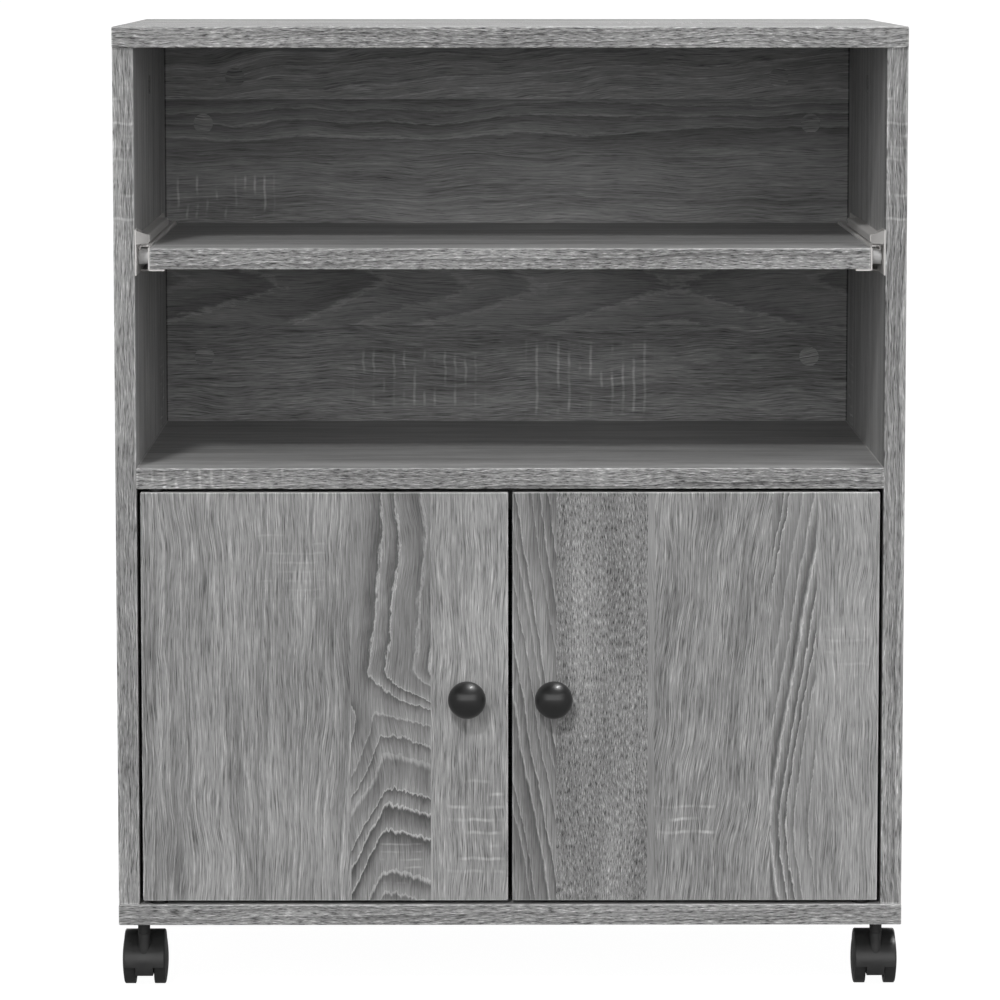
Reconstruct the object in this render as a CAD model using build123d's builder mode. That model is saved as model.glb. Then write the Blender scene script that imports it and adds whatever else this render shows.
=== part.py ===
from build123d import *
import os

# Printer cart: melamine boards on twin-wheel casters, a sliding shelf on roller runners, two doors.
# Millimetres. X runs to the right, Y to the back, Z up. The origin is on the floor, under the
# middle of the cart's outer box with its knobs.

# Boards
cart_width = 600.0
cart_depth = 400.0
carcass_height = 686.0
board = 16.0
edge_round = 1.0
front_setback = 2.5
door_bay_height = 320.0
sliding_shelf_rise = 151.0
shelf_rear_gap = 31.5

# Doors
door_end_gap = 2.5
door_side_gap = 2.7
door_middle_gap = 3.1
pivot_from_edge = 12.0
pivot_from_face = 7.0
pin_radius = 2.5
pin_depth = 20.0
pin_reach = 9.0
pin_collar_radius = 5.5
bush_radius = 4.0
bush_depth = 11.0
bush_flange_radius = 6.5
bush_flange = 1.0
end_play = 0.3
running_gap = 0.05

# Knobs
knob_radius = 14.6
knob_length = 25.0
knob_rim = 14.0
knob_neck_radius = 6.0
knob_neck = 5.0
knob_foot_radius = 8.0
knob_foot = 1.5
knob_rim_round = 1.5
knob_from_edge = 31.5
knob_screw_radius = 2.0
knob_screw_grip = 10.0
knob_screw_head_radius = 4.5
knob_screw_head = 2.4
knob_screw_round = 0.8
screw_clearance = 0.25

# Magnetic catch for both doors, under the fixed shelf
catch_width = 62.0
catch_depth = 14.0
catch_height = 18.0
catch_gap = 0.4
catch_screw_spacing = 48.0
catch_pole_width = 16.0
catch_pole_height = 1.6
catch_pole_spacing = 6.5
catch_pole_reach = 2.0
strike_width = 24.0
strike_height = 11.0
strike_thickness = 1.0
strike_corner = 2.75
strike_from_edge = 4.0
strike_head_radius = 2.6

# Small screws: runners, catch and strike plates
screw_radius = 1.75
screw_length = 12.0
screw_head_radius = 3.4
screw_head = 0.8
hole_play = 0.2

# Cam fittings and dowels
cam_radius = 7.5
cam_depth = 12.5
cam_edge = 32.0
cam_bore_radius = 4.0
cam_slot_length = 7.5
cam_slot_width = 1.2
cam_slot_depth = 2.4
cap_radius = 8.0
cap_thickness = 0.5
bolt_radius = 3.0
bolt_head_radius = 3.5
bolt_head = 3.0
thread_radius = 2.5
thread_depth = 11.0
dowel_radius = 4.0
dowel_length = 30.0
dowel_in_face = 10.0
glue_room = 0.5
back_cam_end = 70.0
back_cam_over_shelf = 54.0
back_cam_under_shelf = 56.0
back_cam_from_side = 58.5
side_cam_from_front = 192.0
side_dowel_end = 52.0
shelf_cam_end = 60.0
shelf_back_cam_x = 150.0

# Roller runners
runner_space = 11.3
runner_sheet = 1.2
runner_bend = 0.5
runner_start = 1.0
runner_play = 0.7
side_play = 0.1
roller_gap = 0.3
flange_rise = 0.4
flange_lip = 3.8
shelf_flange = 12.4
channel_drop = 3.5
channel_rise = 8.5
channel_reach = 9.0
lip_gap = 1.0
channel_top_start = 37.0
channel_top_end = 75.0
channel_floor_start = 56.0
channel_stop_height = 9.0
nose_rise = 13.8
nose_flat = 22.0
nose_slope_end = 77.0
front_roller_radius = 6.75
front_roller_from_nose = 23.0
rear_roller_from_end = 14.0
roller_width = 4.2
roller_rim = 0.5
rivet_radius = 2.0
rivet_head_radius = 3.2
rivet_head = 0.8
hub_radius = 3.8
runner_screw_front = 48.0
runner_screw_rear = 50.0
runner_screw_drop = 8.0

# Casters
caster_height = 54.0
caster_from_side = 17.5
caster_from_end = 28.0
caster_trail = 17.0
wheel_radius = 19.5
wheel_gap = 14.6
wheel_width = 8.5
wheel_dome = 1.9
wheel_edge_round = 1.2
wheel_recess_radius = 16.0
wheel_recess = 5.0
wheel_hub_radius = 6.0
hood_radius = 22.9
hood_wall = 2.4
hood_width = 31.4
hood_web = 13.6
hood_web_floor = 9.5
hood_front_angle = 8.0
hood_rear_angle = 150.0
hood_web_rear = 18.0
hood_edge_round = 1.1
boss_radius = 4.75
stem_radius = 3.5
stem_collar_radius = 4.7
stem_depth = 26.0
stem_thread_radius = 4.0
stem_thread = 10.0
insert_radius = 5.5
insert_depth = 12.0
axle_radius = 3.0
axle_cover = 0.6

# Heights
floor_board_top = caster_height + board
roof_underside = caster_height + carcass_height - board
fixed_shelf_underside = floor_board_top + door_bay_height
fixed_shelf_top = fixed_shelf_underside + board
shelf_underside = fixed_shelf_top + sliding_shelf_rise
shelf_top = shelf_underside + board

# Places across and along the cart
knob_overhang = knob_length - front_setback
front_y = -(cart_depth - knob_overhang) / 2
back_y = front_y + cart_depth
middle_y = (front_y + back_y) / 2
inset_y = front_y + front_setback
back_face_y = back_y - board
outer_half = cart_width / 2
inner_half = outer_half - board
side_middle = inner_half + board / 2
back_middle_y = back_face_y + board / 2
side_depth = back_y - inset_y
fixed_shelf_depth = back_face_y - inset_y
sliding_shelf_depth = fixed_shelf_depth - shelf_rear_gap
sliding_half = inner_half - runner_space

LOW = (Align.CENTER, Align.CENTER, Align.MIN)
HIGH = (Align.CENTER, Align.CENTER, Align.MAX)
UP = (0, 0, 1)
DOWN = (0, 0, -1)
FRONT = (0, -1, 0)
BACK = (0, 1, 0)
SIDES = {"left": -1, "right": 1}

os.makedirs("parts", exist_ok=True)


def keep(piece, name):
    """Label a finished piece and write it as one node."""
    piece.part.label = name
    export_step(piece.part, f"parts/{name}.step")


def drill(places, radius, depth):
    """Blind holes down from each plane, against its normal."""
    with Locations(*places):
        Cylinder(radius, depth, align=HIGH, mode=Mode.SUBTRACT)


def pegs(places, radius, length):
    """Round pegs that stand up from each plane, along its normal."""
    with Locations(*places):
        Cylinder(radius, length, align=LOW)


def shifted(places, distance):
    """The same planes, moved along their normals."""
    return [place.offset(distance) for place in places]


def flipped(places):
    """The same planes, facing the other way."""
    return [-place for place in places]


def joint(x, y, z, into, face):
    """Plane on a board's edge: its normal runs into the next board, its x towards the cam's face."""
    return Plane(origin=(x, y, z), x_dir=face, z_dir=into)


def cam_seats(joints):
    """Planes on the boards' faces, over the centres of the cams."""
    seats = []
    for place in joints:
        centre = place.origin - place.z_dir * cam_edge + place.x_dir * board / 2
        seats.append(Plane(origin=centre, z_dir=place.x_dir))
    return seats


def upright(side, x):
    """Plane across the cart at a distance from its middle: local x is Y and local y is Z."""
    return Plane(origin=(side * x, 0, 0), x_dir=BACK, z_dir=(1, 0, 0))


def cross_section(side, y):
    """Plane across the cart at a depth: local x runs out to one side and local y is Z."""
    return Plane(origin=(0, y, 0), x_dir=(side, 0, 0), z_dir=(0, -side, 0))


# Joints between the boards. Each cam joint has a cam, a bolt and a cap.

back_cam_heights = [roof_underside - back_cam_end, fixed_shelf_top + back_cam_over_shelf,
                    fixed_shelf_underside - back_cam_under_shelf, floor_board_top + back_cam_end]
back_cam_x = inner_half - back_cam_from_side
side_cam_y = front_y + side_cam_from_front
side_dowel_ys = [inset_y + side_dowel_end, back_y - side_dowel_end]
fixed_shelf_middle = fixed_shelf_underside + board / 2
shelf_cam_ys = [inset_y + shelf_cam_end, back_face_y - shelf_cam_end]
shelf_middle_y = (inset_y + back_face_y) / 2


def outward(side):
    """Direction from the cart's middle to one side."""
    return (side, 0, 0)


back_side_joints = {side: [joint(side * inner_half, back_middle_y, z, outward(side), FRONT)
                           for z in back_cam_heights] for side in SIDES.values()}
back_top_joints = [joint(x, back_middle_y, roof_underside, UP, FRONT) for x in (-back_cam_x, back_cam_x)]
back_floor_joints = [joint(x, back_middle_y, floor_board_top, DOWN, FRONT)
                     for x in (-back_cam_x, back_cam_x)]
side_top_joints = {side: [joint(side * side_middle, side_cam_y, roof_underside, UP, outward(-side))]
                   for side in SIDES.values()}
side_floor_joints = {side: [joint(side * side_middle, side_cam_y, floor_board_top, DOWN, outward(-side))]
                     for side in SIDES.values()}
shelf_side_joints = {side: [joint(side * inner_half, y, fixed_shelf_middle, outward(side), DOWN)
                            for y in shelf_cam_ys] for side in SIDES.values()}
shelf_back_joints = [joint(x, back_face_y, fixed_shelf_middle, BACK, DOWN)
                     for x in (-shelf_back_cam_x, shelf_back_cam_x)]

back_joints = back_side_joints[-1] + back_side_joints[1] + back_top_joints + back_floor_joints
side_joints = {side: side_top_joints[side] + side_floor_joints[side] for side in SIDES.values()}
shelf_joints = shelf_side_joints[-1] + shelf_side_joints[1] + shelf_back_joints
cam_joints = back_joints + side_joints[-1] + side_joints[1] + shelf_joints

side_top_dowels = {side: [joint(side * side_middle, y, roof_underside, UP, outward(-side))
                          for y in side_dowel_ys] for side in SIDES.values()}
side_floor_dowels = {side: [joint(side * side_middle, y, floor_board_top, DOWN, outward(-side))
                            for y in side_dowel_ys] for side in SIDES.values()}
shelf_side_dowels = {side: [joint(side * inner_half, shelf_middle_y, fixed_shelf_middle,
                                  outward(side), DOWN)] for side in SIDES.values()}
shelf_back_dowels = [joint(0, back_face_y, fixed_shelf_middle, BACK, DOWN)]
back_top_dowels = [joint(0, back_middle_y, roof_underside, UP, FRONT)]
back_floor_dowels = [joint(0, back_middle_y, floor_board_top, DOWN, FRONT)]
all_dowels = (side_top_dowels[-1] + side_top_dowels[1] + side_floor_dowels[-1] + side_floor_dowels[1]
              + shelf_side_dowels[-1] + shelf_side_dowels[1] + shelf_back_dowels
              + back_top_dowels + back_floor_dowels)


def cut_cam_pockets(joints):
    """Pockets for the cams and the bolts, in the board that holds the cams."""
    drill(cam_seats(joints), cam_radius, cam_depth)
    drill(joints, cam_bore_radius, cam_edge)


def cut_bolt_holes(joints):
    """Holes for the bolts' threads, in the board that the bolts screw into."""
    drill(flipped(joints), thread_radius, thread_depth)


def cut_edge_dowels(places):
    """Dowel holes in a board's edge."""
    drill(places, dowel_radius, dowel_length - dowel_in_face + glue_room)


def cut_face_dowels(places):
    """Dowel holes in a board's face."""
    drill(flipped(places), dowel_radius, dowel_in_face + glue_room)


# Places of the fittings

door_width = (2 * inner_half - 2 * door_side_gap - door_middle_gap) / 2
door_height = door_bay_height - 2 * door_end_gap
door_floor = floor_board_top + door_end_gap
door_roof = door_floor + door_height
door_outer = inner_half - door_side_gap
door_inner = door_outer - door_width
door_back_y = inset_y + board
pivot_x = door_outer - pivot_from_edge
pivot_y = inset_y + pivot_from_face
knob_x = door_inner + knob_from_edge
knob_z = (door_floor + door_roof) / 2
pin_collar = door_end_gap - bush_flange - end_play

caster_x = outer_half - caster_from_side
front_caster_y = front_y + caster_from_end
rear_caster_y = back_y - caster_from_end
caster_places = {"front_left": (-caster_x, front_caster_y, 1), "front_right": (caster_x, front_caster_y, 1),
                 "rear_left": (-caster_x, rear_caster_y, -1), "rear_right": (caster_x, rear_caster_y, -1)}
stem_seats = [Plane(origin=(x, y, caster_height), z_dir=UP) for x, y, trail in caster_places.values()]

flange_underside = shelf_top + flange_rise
flange_top = flange_underside + runner_sheet
channel_floor = shelf_underside - channel_drop
channel_top = shelf_top + channel_rise
runner_front = inset_y + runner_start
runner_back = inset_y + sliding_shelf_depth
runner_length = runner_back - runner_front
web_face = inner_half - runner_sheet
shelf_web_face = sliding_half + runner_sheet
front_roller_inner = shelf_web_face + runner_play + rivet_head + side_play
front_roller_outer = front_roller_inner + roller_width
flange_outer = front_roller_outer + runner_play + runner_sheet
front_roller_y = runner_front + front_roller_from_nose
front_roller_z = flange_underside - roller_gap - front_roller_radius
rear_roller_inner = front_roller_outer - roller_width
rear_roller_y = runner_back - rear_roller_from_end
rear_roller_radius = (flange_underside - channel_floor) / 2 - roller_gap
rear_roller_z = channel_floor + roller_gap + rear_roller_radius
shelf_screw_x = shelf_web_face - shelf_flange / 2
runner_screw_ys = [runner_front + runner_screw_front, (runner_front + runner_back) / 2,
                   runner_back - runner_screw_rear]
runner_screw_z = shelf_top - runner_screw_drop
cabinet_screw_seats = {side: [Plane(origin=(side * web_face, y, runner_screw_z), z_dir=outward(side))
                              for y in runner_screw_ys] for side in SIDES.values()}
shelf_screw_seats = [Plane(origin=(side * shelf_screw_x, y, shelf_underside - runner_sheet), z_dir=UP)
                     for side in SIDES.values() for y in runner_screw_ys]

strike_face_y = door_back_y + strike_thickness
catch_front_y = strike_face_y + catch_gap
catch_screw_x = catch_screw_spacing / 2
catch_middle_z = fixed_shelf_underside - catch_height / 2
strike_x = door_inner + strike_from_edge + strike_width / 2
catch_screw_seats = [Plane(origin=(x, catch_front_y + catch_depth / 2, fixed_shelf_underside - catch_height),
                           z_dir=UP) for x in (-catch_screw_x, catch_screw_x)]
strike_screw_seats = {side: [Plane(origin=(side * strike_x, strike_face_y, catch_middle_z), z_dir=FRONT)]
                      for side in SIDES.values()}


def screws(seats, length):
    """Screws whose heads lie on the seats and whose shanks go on along the normals."""
    pegs(flipped(seats), screw_head_radius, screw_head)
    pegs(seats, screw_radius, length)


# Boards

with BuildPart() as top_panel:
    with BuildSketch(Plane.XY.offset(roof_underside)):
        with Locations((0, middle_y)):
            Rectangle(cart_width, cart_depth)
    extrude(amount=board)
    fillet(top_panel.edges(), edge_round)
    cut_bolt_holes(back_top_joints + side_top_joints[-1] + side_top_joints[1])
    cut_face_dowels(back_top_dowels + side_top_dowels[-1] + side_top_dowels[1])
keep(top_panel, "top_panel")

with BuildPart() as bottom_panel:
    with BuildSketch(Plane.XY.offset(caster_height)):
        with Locations((0, middle_y)):
            Rectangle(cart_width, cart_depth)
    extrude(amount=board)
    fillet(bottom_panel.edges(), edge_round)
    cut_bolt_holes(back_floor_joints + side_floor_joints[-1] + side_floor_joints[1])
    cut_face_dowels(back_floor_dowels + side_floor_dowels[-1] + side_floor_dowels[1])
    drill([Plane(origin=(side * pivot_x, pivot_y, floor_board_top), z_dir=UP)
           for side in SIDES.values()], bush_radius, bush_depth)
    drill(flipped(stem_seats), insert_radius, insert_depth)
keep(bottom_panel, "bottom_panel")

for hand, side in SIDES.items():
    with BuildPart() as side_panel:
        with BuildSketch(Plane.XY.offset(floor_board_top)):
            with Locations((side * side_middle, (inset_y + back_y) / 2)):
                Rectangle(board, side_depth)
        extrude(amount=roof_underside - floor_board_top)
        fillet(side_panel.edges().filter_by(Axis.Z).group_by(Axis.Y)[0], edge_round)
        cut_cam_pockets(side_joints[side])
        cut_edge_dowels(side_top_dowels[side] + side_floor_dowels[side])
        cut_bolt_holes(back_side_joints[side] + shelf_side_joints[side])
        cut_face_dowels(shelf_side_dowels[side])
        drill(flipped(shifted(cabinet_screw_seats[side], runner_sheet)), screw_radius,
              screw_length - runner_sheet)
    keep(side_panel, f"{hand}_side_panel")

with BuildPart() as back_panel:
    with BuildSketch(Plane.XY.offset(floor_board_top)):
        with Locations((0, back_middle_y)):
            Rectangle(2 * inner_half, board)
    extrude(amount=roof_underside - floor_board_top)
    cut_cam_pockets(back_joints)
    cut_edge_dowels(back_top_dowels + back_floor_dowels)
    cut_bolt_holes(shelf_back_joints)
    cut_face_dowels(shelf_back_dowels)
keep(back_panel, "back_panel")

with BuildPart() as fixed_shelf:
    with BuildSketch(Plane.XY.offset(fixed_shelf_underside)):
        with Locations((0, shelf_middle_y)):
            Rectangle(2 * inner_half, fixed_shelf_depth)
    extrude(amount=board)
    fillet(fixed_shelf.edges().filter_by(Axis.X).group_by(Axis.Y)[0], edge_round)
    cut_cam_pockets(shelf_joints)
    cut_edge_dowels(shelf_side_dowels[-1] + shelf_side_dowels[1] + shelf_back_dowels)
    drill([Plane(origin=(side * pivot_x, pivot_y, fixed_shelf_underside), z_dir=DOWN)
           for side in SIDES.values()], bush_radius, bush_depth)
    drill(flipped(shifted(catch_screw_seats, catch_height)), screw_radius, screw_length)
keep(fixed_shelf, "fixed_shelf")

with BuildPart() as sliding_shelf:
    with BuildSketch(Plane.XY.offset(shelf_underside)):
        with Locations((0, inset_y + sliding_shelf_depth / 2)):
            Rectangle(2 * sliding_half, sliding_shelf_depth)
    extrude(amount=board)
    fillet(sliding_shelf.edges(), edge_round)
    drill(flipped(shifted(shelf_screw_seats, runner_sheet)), screw_radius, screw_length - runner_sheet)
keep(sliding_shelf, "sliding_shelf")


# Cam fittings and dowels

with BuildPart() as cam_locks:
    pegs(flipped(cam_seats(cam_joints)), cam_radius, cam_depth)
    drill(cam_joints, cam_bore_radius, cam_edge)
    with Locations(*cam_seats(cam_joints)):
        Box(cam_slot_length, cam_slot_width, cam_slot_depth, align=HIGH, mode=Mode.SUBTRACT)
keep(cam_locks, "cam_locks")

with BuildPart() as cam_bolts:
    pegs(cam_joints, thread_radius, thread_depth)
    pegs(flipped(cam_joints), bolt_radius, cam_edge - bolt_head)
    pegs(flipped(shifted(cam_joints, bolt_head - cam_edge)), bolt_head_radius, bolt_head)
keep(cam_bolts, "cam_bolts")

with BuildPart() as cam_caps:
    pegs(cam_seats(cam_joints), cap_radius, cap_thickness)
keep(cam_caps, "cam_caps")

with BuildPart() as dowels:
    pegs(shifted(all_dowels, dowel_in_face - dowel_length), dowel_radius, dowel_length)
keep(dowels, "dowels")


# Doors, each on two pivot pins

for hand, side in SIDES.items():
    pivots = {"floor": Plane(origin=(side * pivot_x, pivot_y, door_floor), z_dir=DOWN),
              "roof": Plane(origin=(side * pivot_x, pivot_y, door_roof), z_dir=UP)}
    knob_seat = Plane(origin=(side * knob_x, inset_y, knob_z), z_dir=FRONT)
    knob_back = Plane(origin=(side * knob_x, door_back_y, knob_z), z_dir=FRONT)

    with BuildPart() as door:
        with BuildSketch(Plane.XY.offset(door_floor)):
            with Locations((side * (door_outer + door_inner) / 2, inset_y + board / 2)):
                Rectangle(door_width, board)
        extrude(amount=door_height)
        fillet(door.edges(), edge_round)
        drill(pivots.values(), pin_radius, pin_depth)
        drill([knob_seat], knob_screw_radius + screw_clearance, board)
        drill(flipped(shifted(strike_screw_seats[side], strike_thickness)), screw_radius, screw_length)
    keep(door, f"{hand}_door")

    with BuildPart() as pins:
        pegs(shifted(pivots.values(), -pin_depth), pin_radius, pin_depth + door_end_gap + pin_reach)
        pegs(pivots.values(), pin_collar_radius, pin_collar)
    keep(pins, f"{hand}_door_pins")

    with BuildPart() as knob:
        with BuildSketch(Plane(origin=knob_seat.origin, x_dir=(1, 0, 0), z_dir=DOWN)):
            with BuildLine():
                Polyline((0, knob_length), (0, 0), (knob_foot_radius, 0), (knob_foot_radius, knob_foot),
                         (knob_neck_radius, knob_neck))
                EllipticalCenterArc((knob_radius, knob_neck), knob_radius - knob_neck_radius,
                                    knob_rim - knob_neck, start_angle=90, arc_size=90)
                EllipticalCenterArc((0, knob_rim), knob_radius, knob_length - knob_rim,
                                    start_angle=0, arc_size=90)
            make_face()
        revolve(axis=Axis(knob_seat.origin, FRONT))
        rim = knob.edges().filter_by(GeomType.CIRCLE).sort_by(SortBy.RADIUS)[-1]
        fillet(rim, knob_rim_round)
        drill([-knob_seat], knob_screw_radius, knob_screw_grip)
    keep(knob, f"{hand}_knob")

    with BuildPart() as knob_screw:
        pegs([knob_back], knob_screw_radius, board + knob_screw_grip)
        pegs([-knob_back], knob_screw_head_radius, knob_screw_head)
        fillet(knob_screw.faces().sort_by(Axis.Y)[-1].edges(), knob_screw_round)
    keep(knob_screw, f"{hand}_knob_screw")

    with BuildPart() as strike_plate:
        with BuildSketch(Plane(origin=(side * strike_x, door_back_y, catch_middle_z), x_dir=(-1, 0, 0),
                               z_dir=BACK)):
            RectangleRounded(strike_width, strike_height, strike_corner)
        extrude(amount=strike_thickness)
        with Locations(*flipped(strike_screw_seats[side])):
            CounterSinkHole(screw_radius + hole_play, strike_head_radius + hole_play)
    keep(strike_plate, f"{hand}_strike_plate")

    with BuildPart() as strike_screw:
        pegs(strike_screw_seats[side], screw_radius, screw_length)
        with Locations(*strike_screw_seats[side]):
            Cone(strike_head_radius, screw_radius, strike_head_radius - screw_radius, align=LOW)
    keep(strike_screw, f"{hand}_strike_screw")

with BuildPart() as pivot_bushes:
    seats = [Plane(origin=(side * pivot_x, pivot_y, z), z_dir=away)
             for side in SIDES.values() for z, away in ((floor_board_top, UP), (fixed_shelf_underside, DOWN))]
    pegs(seats, bush_flange_radius, bush_flange)
    pegs(flipped(seats), bush_radius, bush_depth)
    drill(shifted(seats, bush_flange), pin_radius + running_gap, bush_flange + pin_reach + end_play)
keep(pivot_bushes, "pivot_bushes")

with BuildPart() as magnetic_catch:
    with BuildSketch(Plane.XY.offset(fixed_shelf_underside - catch_height)):
        with Locations((0, catch_front_y + catch_pole_reach + (catch_depth - catch_pole_reach) / 2)):
            Rectangle(catch_width, catch_depth - catch_pole_reach)
    extrude(amount=catch_height)
    fillet(magnetic_catch.edges().filter_by(Axis.Z), edge_round)
    with BuildSketch(Plane(origin=(0, catch_front_y, catch_middle_z), x_dir=(1, 0, 0), z_dir=BACK)):
        with GridLocations(2 * strike_x, catch_pole_spacing, 2, 2):
            Rectangle(catch_pole_width, catch_pole_height)
    extrude(amount=catch_pole_reach)
    drill(flipped(catch_screw_seats), screw_radius + hole_play, catch_height)
keep(magnetic_catch, "magnetic_catch")

with BuildPart() as catch_screws:
    screws(catch_screw_seats, catch_height + screw_length)
keep(catch_screws, "catch_screws")


# Roller runners. The shelf's rail rides on the cabinet's front roller, and its rear roller runs on
# the floor of the cabinet's channel.

def fold(points, radii):
    """Face of a folded sheet, on the left of a line through the points."""
    with BuildSketch() as section:
        with BuildLine():
            line = FilletPolyline(*points, radius=radii)
            offset(line, amount=runner_sheet, side=Side.LEFT)
        make_face()
    return section.sketch


def roller(seat, radius, bore):
    """Roller with rounded rims, standing on a plane across its axis."""
    with BuildPart() as wheel:
        with Locations(seat):
            Cylinder(radius, roller_width, align=LOW)
        fillet(wheel.edges().filter_by(GeomType.CIRCLE), roller_rim)
        drill(shifted([seat], roller_width), bore, roller_width)
    return wheel


def rivet(seats, hub_length):
    """Rivets through a sheet: the hub stands on the sheet and the head holds the roller."""
    reach = hub_length + roller_width + 2 * side_play
    pegs(seats, hub_radius, hub_length)
    pegs(shifted(seats, -runner_sheet), rivet_radius, runner_sheet + reach)
    pegs(shifted(seats, reach), rivet_head_radius, rivet_head)


front_axes = {side: Plane(origin=(side * web_face, front_roller_y, front_roller_z), z_dir=outward(-side))
              for side in SIDES.values()}
rear_axes = {side: Plane(origin=(side * shelf_web_face, rear_roller_y, rear_roller_z), z_dir=outward(side))
             for side in SIDES.values()}
front_hub = web_face - front_roller_outer - side_play
rear_hub = rear_roller_inner - shelf_web_face - side_play
channel_inner = inner_half - channel_reach
channel_ceiling = channel_top - runner_sheet
channel_height = channel_top - channel_floor
channel_middle = channel_floor + channel_height / 2
channel_lip = flange_top + lip_gap

for hand, side in SIDES.items():
    with BuildPart() as cabinet_runner:
        with BuildSketch(cross_section(side, runner_front)):
            add(fold([(channel_inner + runner_sheet, channel_lip),
                      (channel_inner + runner_sheet, channel_ceiling), (web_face, channel_ceiling),
                      (web_face, channel_floor), (channel_inner, channel_floor)],
                     [runner_bend] * 3))
        extrude(amount=runner_length, dir=BACK)
        with BuildSketch(upright(side, web_face)):
            with Locations((runner_front, channel_middle)):
                Rectangle(channel_top_start, channel_height, align=(Align.MIN, Align.MIN))
                Rectangle(channel_floor_start, channel_height, align=(Align.MIN, Align.MAX))
            with Locations((runner_back, channel_middle)):
                Rectangle(channel_top_end, channel_height, align=(Align.MAX, Align.MIN))
        extrude(amount=channel_reach, dir=outward(-side), mode=Mode.SUBTRACT)
        with BuildSketch(upright(side, inner_half)):
            Polygon((runner_front, channel_floor - runner_sheet), (runner_back, channel_floor - runner_sheet),
                    (runner_back, channel_top), (runner_front + nose_slope_end, channel_top),
                    (runner_front + nose_flat, shelf_top + nose_rise), (runner_front, shelf_top + nose_rise),
                    align=None)
        extrude(amount=runner_sheet, dir=outward(-side))
        with BuildSketch(cross_section(side, runner_back - runner_sheet)):
            with Locations((inner_half, channel_floor)):
                Rectangle(channel_reach, channel_stop_height, align=(Align.MAX, Align.MIN))
        extrude(amount=runner_sheet, dir=BACK)
        drill(flipped(cabinet_screw_seats[side]), screw_radius + hole_play, runner_sheet)
        drill([front_axes[side]], rivet_radius, runner_sheet)
    keep(cabinet_runner, f"{hand}_cabinet_runner")

    with BuildPart() as shelf_runner:
        with BuildSketch(cross_section(side, inset_y)):
            add(fold([(shelf_web_face - shelf_flange, shelf_underside - runner_sheet),
                      (shelf_web_face, shelf_underside - runner_sheet), (shelf_web_face, flange_underside),
                      (flange_outer - runner_sheet, flange_underside),
                      (flange_outer - runner_sheet, flange_top - flange_lip)],
                     [runner_bend + runner_sheet, runner_bend, runner_bend]))
        extrude(amount=sliding_shelf_depth, dir=BACK)
        drill(shifted([seat for seat in shelf_screw_seats if seat.origin.X * side > 0], runner_sheet),
              screw_radius + hole_play, runner_sheet)
        drill([rear_axes[side]], rivet_radius, runner_sheet)
    keep(shelf_runner, f"{hand}_shelf_runner")

    bore = rivet_radius + running_gap
    front_seat = front_axes[side].offset(front_hub + side_play)
    rear_seat = rear_axes[side].offset(rear_hub + side_play)
    keep(roller(front_seat, front_roller_radius, bore), f"{hand}_front_roller")
    keep(roller(rear_seat, rear_roller_radius, bore), f"{hand}_rear_roller")

with BuildPart() as front_roller_rivets:
    rivet(list(front_axes.values()), front_hub)
keep(front_roller_rivets, "front_roller_rivets")

with BuildPart() as rear_roller_rivets:
    rivet(list(rear_axes.values()), rear_hub)
keep(rear_roller_rivets, "rear_roller_rivets")

with BuildPart() as cabinet_runner_screws:
    screws(cabinet_screw_seats[-1] + cabinet_screw_seats[1], screw_length)
keep(cabinet_runner_screws, "cabinet_runner_screws")

with BuildPart() as shelf_runner_screws:
    screws(shelf_screw_seats, screw_length)
keep(shelf_runner_screws, "shelf_runner_screws")


# Casters. The stem is fixed to the cart, the hood swivels round it, and two wheels turn on the
# hood's axle behind it.

hood_top = wheel_radius + hood_radius
axle_half = wheel_gap / 2 + wheel_width - axle_cover


def caster_side(x, y, trail):
    """Plane through a caster's stem: local x runs to the axle and local y is Z."""
    return Plane(origin=(x, y, 0), x_dir=(0, trail, 0), z_dir=(trail, 0, 0))


def hood(x, y, trail):
    """Fender over both wheels, with the web between them and the boss round the stem."""
    view = caster_side(x, y, trail)
    axle = (caster_trail, wheel_radius)
    start = 180 - hood_rear_angle
    sweep = hood_rear_angle + hood_front_angle
    with BuildPart() as cover:
        with BuildSketch(view):
            with BuildLine():
                outer = CenterArc(axle, hood_radius, start, sweep)
                inner = CenterArc(axle, hood_radius - hood_wall, start, sweep)
                Line(outer @ 0, inner @ 0)
                Line(outer @ 1, inner @ 1)
            make_face()
        extrude(amount=hood_width / 2, both=True)
        fillet(cover.edges().filter_by(GeomType.CIRCLE), hood_edge_round)
        with BuildSketch(view):
            with Locations(axle):
                Circle(hood_radius)
            with Locations((caster_trail + hood_web_rear, hood_web_floor)):
                Rectangle(2 * hood_radius, hood_top, align=(Align.MAX, Align.MIN), mode=Mode.INTERSECT)
        extrude(amount=hood_web / 2, both=True)
        with Locations((x, y, wheel_radius)):
            Cylinder(boss_radius, hood_radius, align=LOW)
        drill([Plane(origin=(x, y, hood_top), z_dir=UP)], stem_radius + running_gap, stem_depth)
        with Locations(Plane(origin=(x, y + trail * caster_trail, wheel_radius), z_dir=(1, 0, 0))):
            Cylinder(axle_radius, hood_web, mode=Mode.SUBTRACT)
    return cover


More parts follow.
